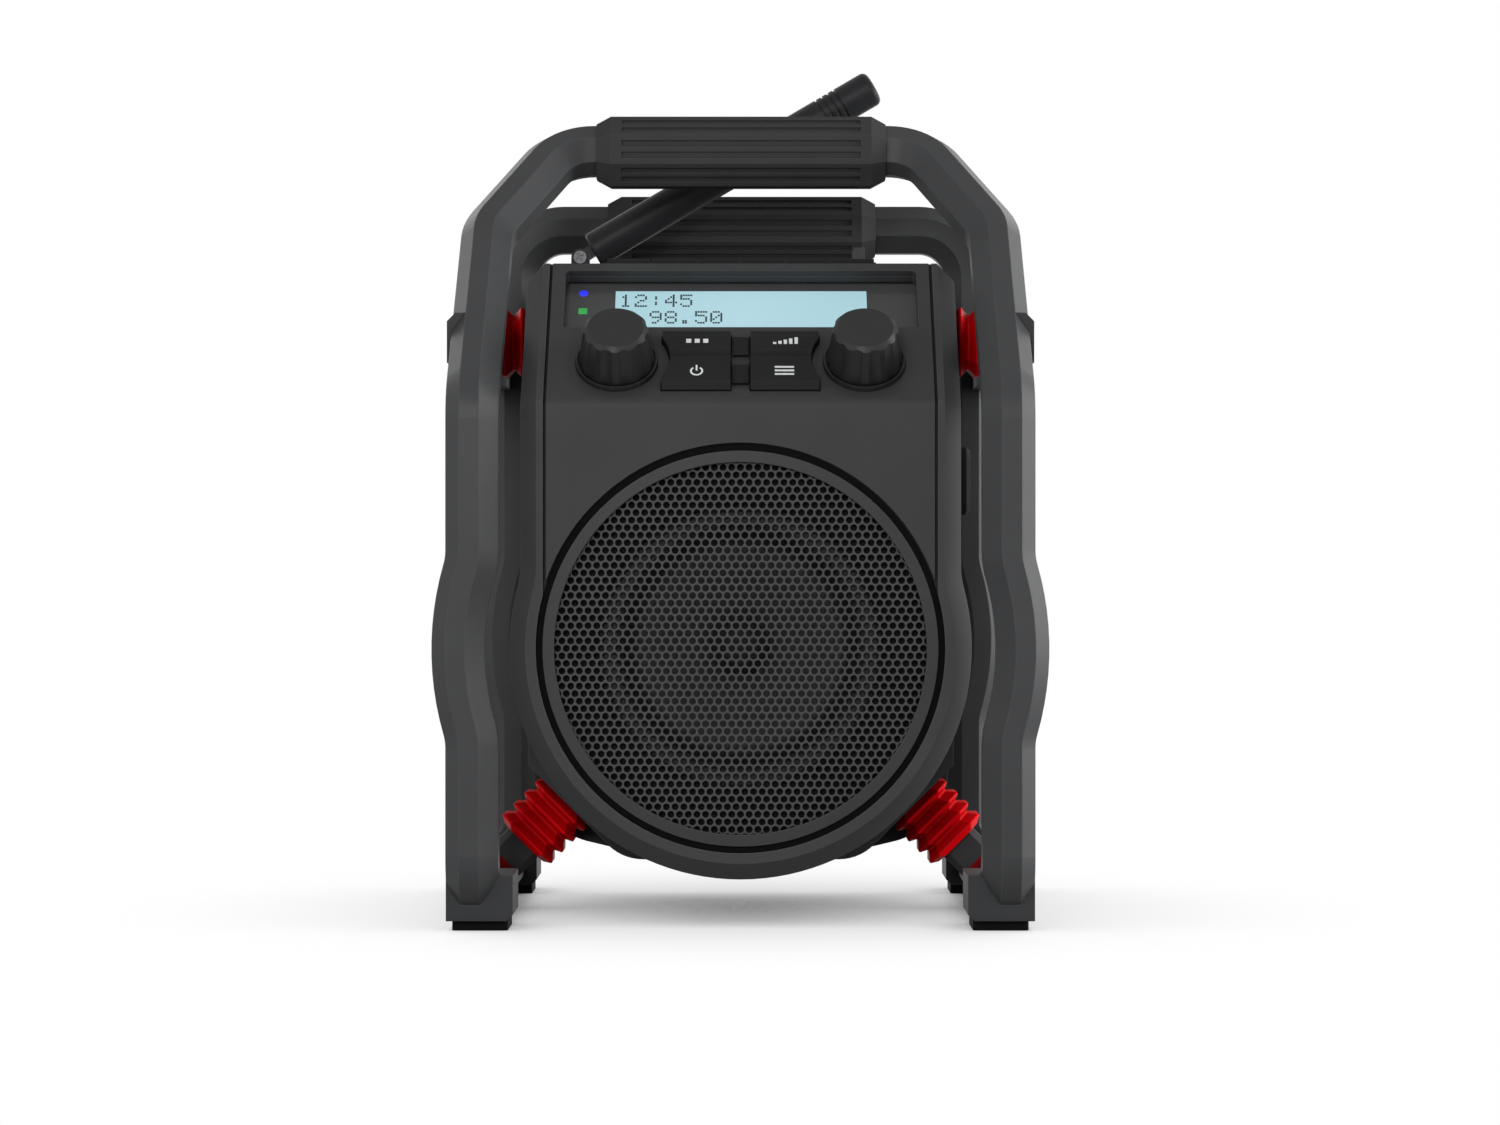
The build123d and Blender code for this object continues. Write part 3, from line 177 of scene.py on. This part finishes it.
def glowing(name, colour, strength):
    """A lit panel or lens with a faintly uneven glow."""
    n = Nodes(name)
    patch = n.noise(60.0, 2.0, 0.5)
    low = tuple(c * 0.86 for c in colour)
    shade = n.tint(patch, low, colour)
    n.link(shade, n.shader.inputs["Base Color"])
    n.link(shade, n.shader.inputs["Emission Color"])
    n.shader.inputs["Emission Strength"].default_value = strength
    n.shader.inputs["Roughness"].default_value = 0.25
    return n.material


def cone_material():
    """Pressed paper cone: matt, with painted shade as darker bands where it meets the cap and the surround.
    """
    n = Nodes("cone_paper")
    split = n.new("ShaderNodeSeparateXYZ")
    n.link(n.coord.outputs["Object"], split.inputs["Vector"])
    up = n.new("ShaderNodeMath", operation="SUBTRACT")
    n.link(split.outputs["Z"], up.inputs[0])
    up.inputs[1].default_value = SPEAKER_Z * MM
    flat = n.new("ShaderNodeCombineXYZ")
    n.link(split.outputs["X"], flat.inputs["X"])
    n.link(up.outputs[0], flat.inputs["Y"])
    reach = n.new("ShaderNodeVectorMath", operation="LENGTH")
    n.link(flat.outputs["Vector"], reach.inputs[0])
    share = n.new("ShaderNodeMapRange")
    share.inputs["From Max"].default_value = CONE_RADIUS * MM
    n.link(reach.outputs["Value"], share.inputs["Value"])
    ramp = n.new("ShaderNodeValToRGB")
    # Painted shade: the colour falls off towards the cap and towards the surround.
    stops = [(0.24, 0.02), (0.42, 0.04), (0.84, 0.044), (0.94, 0.006)]
    for place, _ in stops[1:3]:
        ramp.color_ramp.elements.new(place)
    for element, (place, shade) in zip(ramp.color_ramp.elements, stops):
        element.position = place
        element.color = (shade, shade, shade * 1.02, 1.0)
    n.link(share.outputs["Result"], ramp.inputs["Fac"])
    n.link(ramp.outputs["Color"], n.shader.inputs["Base Color"])
    fibre = n.noise(420.0, 3.0, 0.6)
    n.link(n.span(fibre, 0.7, 0.85), n.shader.inputs["Roughness"])
    n.shader.inputs["Specular IOR Level"].default_value = 0.2
    n.surface_normal(fibre, 0.5, 0.00008, 0.0)
    return n.material


MATERIALS = {
    "cage_coat": moulded(
        "cage_coat", (0.054, 0.055, 0.057),
        rough=0.4, grain=1300.0, bump=0.14, edge=0.0006, specular=0.12,
    ),
    "grip_rubber": moulded(
        "grip_rubber", (0.054, 0.0545, 0.056),
        rough=0.75, grain=1800.0, bump=0.16, edge=0.0004, specular=0.03,
    ),
    "side_member_plastic": moulded(
        "side_member_plastic", (0.042, 0.043, 0.045),
        rough=0.48, grain=1300.0, bump=0.14,
    ),
    "foot_rubber": moulded(
        "foot_rubber", (0.008, 0.008, 0.0085),
        rough=0.6, grain=1000.0, bump=0.2, specular=0.03,
    ),
    "bolt_steel": metal("bolt_steel", (0.12, 0.12, 0.125), 0.38),
    "bellows_red": moulded(
        "bellows_red", (0.7, 0.0005, 0.004),
        rough=0.42, grain=900.0, bump=0.08, edge=0.0006, spread=0.05, specular=0.06,
    ),
    "strut_plastic": moulded("strut_plastic", (0.038, 0.039, 0.041), grain=1300.0, bump=0.14),
    "collar_red": moulded(
        "collar_red", (0.2, 0.001, 0.004),
        rough=0.5, grain=900.0, bump=0.08, specular=0.06,
    ),
    "shell_plastic": moulded("shell_plastic", (0.063, 0.0635, 0.065), rough=0.58, specular=0.07),
    "fascia_plastic": moulded(
        "fascia_plastic", (0.047, 0.0475, 0.049),
        rough=0.46, grain=1600.0, edge=0.0003,
    ),
    "bezel_plastic": moulded("bezel_plastic", (0.046, 0.0465, 0.048), rough=0.33, bump=0.06),
    "grille_steel": moulded("grille_steel", (0.074, 0.075, 0.077), bump=0.08, edge=0.0002),
    "knob_plastic": moulded(
        "knob_plastic", (0.023, 0.0233, 0.0245),
        rough=0.33, bump=0.06, edge=0.0002, specular=0.15,
    ),
    "knob_ring_plastic": moulded(
        "knob_ring_plastic", (0.024, 0.0245, 0.026),
        rough=0.3, bump=0.05, edge=0.0003,
    ),
    "key_rubber": moulded(
        "key_rubber", (0.02, 0.0203, 0.021),
        rough=0.5, bump=0.1, edge=0.0003, specular=0.05,
    ),
    "board": moulded(
        "board", (0.01, 0.06, 0.025),
        rough=0.35, grain=500.0, bump=0.05, edge=0.0002, spread=0.25,
    ),
    "switch_metal": metal("switch_metal", (0.5, 0.5, 0.5)),
    "encoder_metal": metal("encoder_metal", (0.5, 0.5, 0.52)),
    "basket_steel": moulded(
        "basket_steel", (0.014, 0.014, 0.0145),
        rough=0.55, grain=900.0, bump=0.1, specular=0.04,
    ),
    "magnet_ferrite": moulded("magnet_ferrite", (0.03, 0.03, 0.032), rough=0.55, grain=600.0, bump=0.2),
    "cone_paper": cone_material(),
    "surround_rubber": moulded("surround_rubber", (0.04, 0.04, 0.041), rough=0.55, grain=900.0, bump=0.1),
    "antenna_metal": metal("antenna_metal", (0.07, 0.07, 0.073), 0.4),
    "antenna_rubber": moulded("antenna_rubber", (0.02, 0.0205, 0.022), rough=0.42, bump=0.1),
    "cell_jacket": metal("cell_jacket", (0.3, 0.31, 0.33), 0.3),
    "contact_nickel": metal("contact_nickel", (0.6, 0.58, 0.54), 0.25),
    "screw_steel": metal("screw_steel", (0.16, 0.16, 0.165), 0.35),
    "socket_plastic": moulded("socket_plastic", (0.02, 0.02, 0.021), rough=0.4),
    "mat_rubber": moulded(
        "mat_rubber", (0.03, 0.0305, 0.032),
        rough=0.75, grain=1200.0, bump=0.2, specular=0.03,
    ),
    "light_blue": glowing("light_blue", (0.03, 0.04, 0.75), 1.1),
    "light_green": glowing("light_green", (0.02, 0.32, 0.06), 0.9),
}


def window_material():
    """Smoked clear window: mostly see-through, with its own gloss."""
    n = Nodes("window_clear")
    n.shader.inputs["Base Color"].default_value = (0.02, 0.021, 0.023, 1.0)
    smudge = n.noise(90.0, 3.0, 0.6)
    n.link(n.span(smudge, 0.06, 0.14), n.shader.inputs["Roughness"])
    n.shader.inputs["Alpha"].default_value = 0.2
    return n.material


def lcd_material():
    """Lit panel, paler towards its middle."""
    n = Nodes("lcd_panel")
    split = n.new("ShaderNodeSeparateXYZ")
    n.link(n.coord.outputs["Object"], split.inputs["Vector"])
    across = n.new("ShaderNodeMath", operation="ABSOLUTE")
    n.link(split.outputs["X"], across.inputs[0])
    reach = n.new("ShaderNodeMapRange")
    reach.inputs["From Min"].default_value = 0.0
    reach.inputs["From Max"].default_value = 0.05
    n.link(across.outputs[0], reach.inputs["Value"])
    ramp = n.new("ShaderNodeValToRGB")
    ramp.color_ramp.elements[0].color = (0.47, 0.72, 0.79, 1.0)
    ramp.color_ramp.elements[1].color = (0.41, 0.66, 0.73, 1.0)
    n.link(reach.outputs["Result"], ramp.inputs["Fac"])
    n.link(ramp.outputs["Color"], n.shader.inputs["Emission Color"])
    n.shader.inputs["Base Color"].default_value = (0.04, 0.055, 0.06, 1.0)
    n.shader.inputs["Emission Strength"].default_value = 1.32
    n.shader.inputs["Roughness"].default_value = 0.3
    return n.material


MATERIALS["window_clear"] = window_material()
MATERIALS["display_print"] = moulded("display_print", (0.29, 0.292, 0.295), rough=0.5, bump=0.04, edge=0.0)
MATERIALS["lcd_panel"] = lcd_material()
PRINT = moulded("print_white", (0.86, 0.87, 0.88), rough=0.5, bump=0.03, edge=0.0)
FORK = moulded(
    "dark_plated_metal", (0.012, 0.012, 0.0125),
    grain=900.0, bump=0.08, edge=0.0002, spread=0.1, specular=0.15,
)
# Near-black colour for the ring laid in the bezel's groove as painted shade.
GROOVE_SHADE = moulded(
    "groove_shade_black", (0.004, 0.004, 0.0042),
    rough=0.7, grain=900.0, bump=0.1, edge=0.0, specular=0.05,
)
LCD_DOT = moulded("lcd_dot", (0.08, 0.13, 0.15), rough=0.4, bump=0.02, edge=0.0)

for name, node in nodes.items():
    dressed = MATERIALS[slots[name]]
    if name in ("antenna_base", "antenna_fork"):
        dressed = FORK
    for holder in node.material_slots:
        holder.material = dressed


# ------------------------------------------------------------------ mesh helpers
def piece(name, verts, faces, material, body="radio", replaces=()):
    """A mesh piece that rides on a body."""
    mesh = bpy.data.meshes.new(name)
    mesh.from_pydata([tuple(v) for v in verts], [], faces)
    mesh.validate()
    mesh.update()
    obj = bpy.data.objects.new(name, mesh)
    bpy.context.collection.objects.link(obj)
    mesh.materials.append(material)
    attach(obj, body)
    if replaces:
        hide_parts(*replaces)
    return obj


def panel_point(x, up, out):
    """A point on the sloping panel, from millimetres."""
    return PANEL_ORIGIN + Vector((x * MM, 0, 0)) + PANEL_UP * (up * MM) + PANEL_OUT * (out * MM)


def panel_prism(outlines, low, high):
    """Closed prisms on the panel from flat outlines, given in millimetres."""
    verts, faces = [], []
    for outline in outlines:
        start = len(verts)
        count = len(outline)
        verts += [panel_point(x, up, low) for x, up in outline]
        verts += [panel_point(x, up, high) for x, up in outline]
        faces.append(tuple(start + count + i for i in range(count)))
        faces.append(tuple(start + i for i in reversed(range(count))))
        for i in range(count):
            j = (i + 1) % count
            faces.append((start + i, start + j, start + count + j, start + count + i))
    return verts, faces


# ------------------------------------------------------------------ speaker grille
GRILLE_PITCH = 3.04
GRILLE_HOLE = 1.2
GRILLE_RADIUS = 66.6
GRILLE_FRONT, GRILLE_BACK = -78.4, -77.5
HOLE_EDGE = 0.16             # width and depth of the softened rim of a hole
HOLE_SIDES = 12
GRILLE_RIM = 0.4             # plain metal kept outside the last hole's centre


def speaker_point(x, y, z):
    """A point from millimetres off the speaker's axis."""
    return (x * MM, y * MM, (SPEAKER_Z + z) * MM)


def make_grille():
    """Perforated sheet: one ring of metal round each hole, out to the bezel."""
    verts, faces = [], []
    row_step = GRILLE_PITCH * math.sqrt(3) / 2
    rows = int(GRILLE_RADIUS / row_step) + 1
    columns = int(GRILLE_RADIUS / GRILLE_PITCH) + 1
    turn = math.tau / HOLE_SIDES
    flat = GRILLE_PITCH / 2
    hexagon = [flat / math.cos(turn) if i % 2 else flat for i in range(HOLE_SIDES)]
    rings = [
        (hexagon, GRILLE_FRONT),
        ([GRILLE_HOLE + HOLE_EDGE] * HOLE_SIDES, GRILLE_FRONT),
        ([GRILLE_HOLE] * HOLE_SIDES, GRILLE_FRONT + HOLE_EDGE),
        ([GRILLE_HOLE] * HOLE_SIDES, GRILLE_BACK),
    ]
    for row in range(-rows, rows + 1):
        for column in range(-columns, columns + 1):
            x = (column + (0.5 if row % 2 else 0.0)) * GRILLE_PITCH
            z = row * row_step
            if math.hypot(x, z) > GRILLE_RADIUS - GRILLE_RIM:
                continue
            start = len(verts)
            for radii, y in rings:
                for i, radius in enumerate(radii):
                    across, up = radius * math.cos(turn * i), radius * math.sin(turn * i)
                    verts.append(speaker_point(x + across, y, z + up))
            for ring in range(len(rings) - 1):
                for i in range(HOLE_SIDES):
                    j = (i + 1) % HOLE_SIDES
                    a, b = start + ring * HOLE_SIDES, start + (ring + 1) * HOLE_SIDES
                    faces.append((a + i, a + j, b + j, b + i))
    steel = MATERIALS["grille_steel"]
    grille = piece("grille_sheet", verts, faces, steel, replaces=["speaker_grille"])
    grille.data.flip_normals()
    return grille


make_grille()


RING_SIDES = 96


def flat_ring(name, outer, inner, y, thickness, material):
    """A thin ring round the speaker, in millimetres."""
    verts, faces = [], []
    count = RING_SIDES
    for radius, depth in ((outer, y), (inner, y), (inner, y + thickness), (outer, y + thickness)):
        for i in range(count):
            a = math.tau * i / count
            verts.append(speaker_point(radius * math.cos(a), depth, radius * math.sin(a)))
    for ring in range(4):
        for i in range(count):
            a, b = ring * count, (ring + 1) % 4 * count
            j = (i + 1) % count
            faces.append((a + i, a + j, b + j, b + i))
    return piece(name, verts, faces, material)


# Painted shade: a thin near-black ring in the groove round the bezel.
GROOVE_SHADE_OUTER, GROOVE_SHADE_INNER = 71.38, 69.02
GROOVE_SHADE_FRONT, GROOVE_SHADE_THICKNESS = -78.2, 0.6
flat_ring("bezel_groove_shade", GROOVE_SHADE_OUTER, GROOVE_SHADE_INNER, GROOVE_SHADE_FRONT, GROOVE_SHADE_THICKNESS, GROOVE_SHADE)

# ------------------------------------------------------------------ numerals on the display
DIGITS = {
    "0": ("01110", "10001", "10011", "10101", "11001", "10001", "01110"),
    "1": ("00100", "01100", "00100", "00100", "00100", "00100", "01110"),
    "2": ("01110", "10001", "00001", "00110", "01000", "10000", "11111"),
    "3": ("11111", "00010", "00100", "00010", "00001", "10001", "01110"),
    "4": ("00010", "00110", "01010", "10010", "11111", "00010", "00010"),
    "5": ("11111", "10000", "11110", "00001", "00001", "10001", "01110"),
    "8": ("01110", "10001", "10001", "01110", "10001", "10001", "01110"),
    "9": ("01110", "10001", "10001", "01111", "00001", "00010", "01100"),
    ":": ("00000", "00100", "00100", "00000", "00100", "00100", "00000"),
    ".": ("00000", "00000", "00000", "00000", "00000", "01100", "01100"),
}


def numeral_dots(text, left, top, dot, tall):
    """Outlines of the lit dots of a line of numerals."""
    outlines = []
    for place, mark in enumerate(text):
        if mark == " ":
            continue
        for r, line in enumerate(DIGITS[mark]):
            for c, lit in enumerate(line):
                if lit == "1":
                    x = left + (place * 6 + c) * dot
                    up = top - r * tall
                    w, h = dot * 0.4, tall * 0.43
                    outlines.append([(x - w, up - h), (x + w, up - h), (x + w, up + h), (x - w, up + h)])
    return outlines


def frame_outline(outer, inner):
    """Four-sided pieces that fill the space between two upright rectangles."""
    (ax0, au0, ax1, au1), (bx0, bu0, bx1, bu1) = outer, inner
    return [
        [(ax0, au0), (ax1, au0), (bx1, bu0), (bx0, bu0)], [(ax1, au0), (ax1, au1), (bx1, bu1), (bx1, bu0)],
        [(ax1, au1), (ax0, au1), (bx0, bu1), (bx1, bu1)], [(ax0, au1), (ax0, au0), (bx0, bu0), (bx0, bu1)],
    ]


def eye_outlines(outer, x, up, reach, sides):
    """Fill a rectangle round a clear eye with the given number of sides."""
    x0, u0, x1, u1 = outer
    corners = [math.atan2(u - up, c - x) for c in (x0, x1) for u in (u0, u1)]
    turns = sorted([math.tau * (i + 0.5) / sides - math.pi for i in range(sides)] + corners)
    outlines = []
    for a, b in zip(turns, turns[1:] + [turns[0] + math.tau]):
        quad = []
        for angle, at_edge in ((a, False), (a, True), (b, True), (b, False)):
            c, k = math.cos(angle), math.sin(angle)
            far = min(((x1 if c > 0 else x0) - x) / c, ((u1 if k > 0 else u0) - up) / k)
            step = math.tau / sides
            off = (angle + math.pi) % step - step / 2
            near = reach / math.cos(step / 2 - abs(off))
            length = far if at_edge else near
            quad.append((x + length * c, up + length * k))
        outlines.append(quad)
    return outlines


# Rectangles on the panel are left, lower, right and upper edge, in millimetres.
PRINT_BOX = (-64.4, 36.2, 64.4, 69.0)
LIT_BOX = (-45.2, 42.2, 45.6, 64.6)
EYE_STRIP = -51.4            # the strip left of this holds the two lights
EYE_SPLIT = 58.7             # between the round and the square eye
ROUND_EYE = (-56.8, 63.4, 1.68, 24)
SQUARE_EYE = (-56.8, 54.0, 1.6, 4)
PRINT_LOW, PRINT_HIGH = -7.37, -7.33
NUMERAL_LOW, NUMERAL_HIGH = -7.38, -7.32
TEXT_LEFT = -43.3
TEXT_LINES = (("12:45", 62.4), ("  98.50", 53.6))
DOT_ACROSS, DOT_UP = 0.908, 0.95

# The printed frame behind the window, with a round and a square eye left clear for the two lights.
left, low, right, high = PRINT_BOX
mask = frame_outline((EYE_STRIP, low, right, high), LIT_BOX)
mask += eye_outlines((left, EYE_SPLIT, EYE_STRIP, high), *ROUND_EYE)
mask += eye_outlines((left, low, EYE_STRIP, EYE_SPLIT), *SQUARE_EYE)
verts, faces = panel_prism(mask, PRINT_LOW, PRINT_HIGH)
piece("display_frame", verts, faces, MATERIALS["display_print"])

dots = []
for text, top in TEXT_LINES:
    dots += numeral_dots(text, TEXT_LEFT, top, DOT_ACROSS, DOT_UP)
verts, faces = panel_prism(dots, NUMERAL_LOW, NUMERAL_HIGH)
piece("display_numerals", verts, faces, LCD_DOT)


# ------------------------------------------------------------------ symbols on the keys
def bar(x0, x1, up0, up1):
    return [(x0, up0), (x1, up0), (x1, up1), (x0, up1)]


def arc_segments(x, up, radius, width, start, end, count):
    """Short four-sided outlines that make up part of a ring."""
    outlines = []
    inner, outer = radius - width / 2, radius + width / 2
    for i in range(count):
        quad = []
        for step, reach in ((i, inner), (i, outer), (i + 1, outer), (i + 1, inner)):
            angle = math.radians(start + (end - start) * step / count)
            quad.append((x + reach * math.cos(angle), up + reach * math.sin(angle)))
        outlines.append(quad)
    return outlines


KEY_TOP = 2.8
KEY_X = 15.4                 # middle of the keys, either side of the panel's middle
PRINT_SINK, PRINT_RISE = 0.03, 0.04


def blocks_sign():
    """Three blocks in a row, for the source."""
    pitch, width, low, high = 3.0, 1.8, 26.6, 28.6
    left = -KEY_X - pitch - 0.8
    return [bar(left + pitch * i, left + width + pitch * i, low, high) for i in range(3)]


def steps_sign():
    """Five rising bars, for the loudness."""
    pitch, width, low, first, rise = 1.9, 1.2, 26.0, 1.0, 0.6
    left = KEY_X - 4.0
    return [bar(left + pitch * i, left + width + pitch * i, low, low + first + rise * i) for i in range(5)]


def switch_sign():
    """An open ring with a stroke in its gap, for on and off."""
    middle, radius, width = 12.2, 2.0, 0.65
    stroke = bar(-KEY_X - 0.32, -KEY_X + 0.32, middle + 0.2, middle + 3.0)
    return arc_segments(-KEY_X, middle, radius, width, 125, 415, 14) + [stroke]


def lines_sign():
    """Three long lines, for the menu."""
    half, low, thick, pitch = 3.4, 10.2, 0.9, 1.8
    return [bar(KEY_X - half, KEY_X + half, low + pitch * i, low + thick + pitch * i) for i in range(3)]


symbols = {
    "button_upper_left": blocks_sign(),
    "button_upper_right": steps_sign(),
    "button_lower_left": switch_sign(),
    "button_lower_right": lines_sign(),
}
for body, outlines in symbols.items():
    verts, faces = panel_prism(outlines, KEY_TOP - PRINT_SINK, KEY_TOP + PRINT_RISE)
    piece("symbol_" + body, verts, faces, PRINT, body)

# ------------------------------------------------------------------ floor, light, camera
def background_rays(tree):
    """1 for the rays that show the bright backdrop: camera, glossy and transmission rays."""
    path = tree.nodes.new("ShaderNodeLightPath")
    seen = path.outputs["Is Camera Ray"]
    for kind in ("Is Glossy Ray", "Is Transmission Ray"):
        either = tree.nodes.new("ShaderNodeMath")
        either.operation = "MAXIMUM"
        tree.links.new(seen, either.inputs[0])
        tree.links.new(path.outputs[kind], either.inputs[1])
        seen = either.outputs[0]
    return seen


FLOOR_SIZE = 12.0
SHADOW_REACH = 0.32          # how far the radio's painted shadow spreads on the floor
SHADOW_OPEN = 0.85           # openness above which the floor is plain white
WORLD_STRENGTH = 0.12        # what the world gives to matt surfaces

bpy.ops.mesh.primitive_plane_add(size=FLOOR_SIZE, location=(0, 0, 0))
floor = bpy.context.object
floor.name = "floor"


def floor_material():
    """White floor: bright where it is seen or mirrored, with a painted shadow darker under the radio, and
    dim as a light.
    """
    n = Nodes("floor_white")
    n.shader.inputs["Base Color"].default_value = (0.1, 0.1, 0.1, 1.0)
    n.shader.inputs["Roughness"].default_value = 0.9
    n.shader.inputs["Specular IOR Level"].default_value = 0.0
    # Painted shadow: the seen brightness falls where the radio closes the floor in.
    near = n.new("ShaderNodeAmbientOcclusion", samples=24)
    near.inputs["Distance"].default_value = SHADOW_REACH
    clear = n.new("ShaderNodeMapRange")
    clear.inputs["From Max"].default_value = SHADOW_OPEN
    n.link(near.outputs["AO"], clear.inputs["Value"])
    fall = n.new("ShaderNodeMath", operation="POWER")
    fall.inputs[1].default_value = 0.5
    n.link(clear.outputs["Result"], fall.inputs[0])
    glow = n.new("ShaderNodeEmission")
    n.link(fall.outputs[0], glow.inputs["Color"])
    mix = n.new("ShaderNodeMixShader")
    n.link(background_rays(n.tree), mix.inputs["Fac"])
    n.link(n.shader.outputs["BSDF"], mix.inputs[1])
    n.link(glow.outputs["Emission"], mix.inputs[2])
    n.link(mix.outputs["Shader"], n.tree.nodes["Material Output"].inputs["Surface"])
    return n.material


floor.data.materials.append(floor_material())

world = bpy.data.worlds.new("studio")
bpy.context.scene.world = world
world.use_nodes = True
wt = world.node_tree
background = wt.nodes["Background"]
background.inputs["Color"].default_value = (1, 1, 1, 1)
background.inputs["Strength"].default_value = WORLD_STRENGTH
seen = wt.nodes.new("ShaderNodeBackground")
seen.inputs["Color"].default_value = (1, 1, 1, 1)
seen.inputs["Strength"].default_value = 1.0
mix = wt.nodes.new("ShaderNodeMixShader")
wt.links.new(background_rays(wt), mix.inputs["Fac"])
wt.links.new(background.outputs["Background"], mix.inputs[1])
wt.links.new(seen.outputs["Background"], mix.inputs[2])
wt.links.new(mix.outputs["Shader"], wt.nodes["World Output"].inputs["Surface"])


def softbox(name, place, aim, size, power):
    """A rectangular light that points at aim."""
    data = bpy.data.lights.new(name, "AREA")
    data.shape = "RECTANGLE"
    data.size, data.size_y = size
    data.energy = power
    data.use_shadow = True
    light = bpy.data.objects.new(name, data)
    bpy.context.collection.objects.link(light)
    light.location = place
    light.rotation_euler = (Vector(aim) - Vector(place)).to_track_quat("-Z", "Y").to_euler()
    return light


AIM = (0.0, -0.03, 0.15)
# Each lamp: place, size and power.
LIGHTS = {
    "right_side": ((1.4, -0.05, 0.35), (0.7, 1.0), 25.0),
    "front_left": ((-0.3, -1.9, 0.6), (0.45, 0.6), 14.5),
    "front_right": ((0.5, -1.9, 0.5), (0.6, 0.6), 3.5),
    "left_side": ((-1.4, -0.3, 0.4), (0.7, 1.0), 2.5),
    "right_front": ((1.0, -1.0, 0.35), (0.6, 0.9), 1.8),
    "left_front": ((-1.0, -1.0, 0.35), (0.6, 0.9), 3.5),
    "back_right": ((0.9, 1.1, 0.6), (0.7, 0.9), 5.0),
    "back_left": ((-0.9, 1.1, 0.6), (0.7, 0.9), 5.0),
}
for name, (place, size, power) in LIGHTS.items():
    softbox(name, place, AIM, size, power)

CAMERA_PLACE = (0.00332, -1.397, 0.1277)
CAMERA_LENS = 90.7
camera_data = bpy.data.cameras.new("camera")
camera_data.sensor_width = 36.0
camera_data.lens = CAMERA_LENS
camera_data.clip_start = 0.05
camera_data.clip_end = 60.0
camera = bpy.data.objects.new("camera", camera_data)
bpy.context.collection.objects.link(camera)
camera.location = CAMERA_PLACE
camera.rotation_euler = (math.radians(90), 0, 0)
bpy.context.scene.camera = camera
bpy.context.scene.view_settings.view_transform = "Standard"
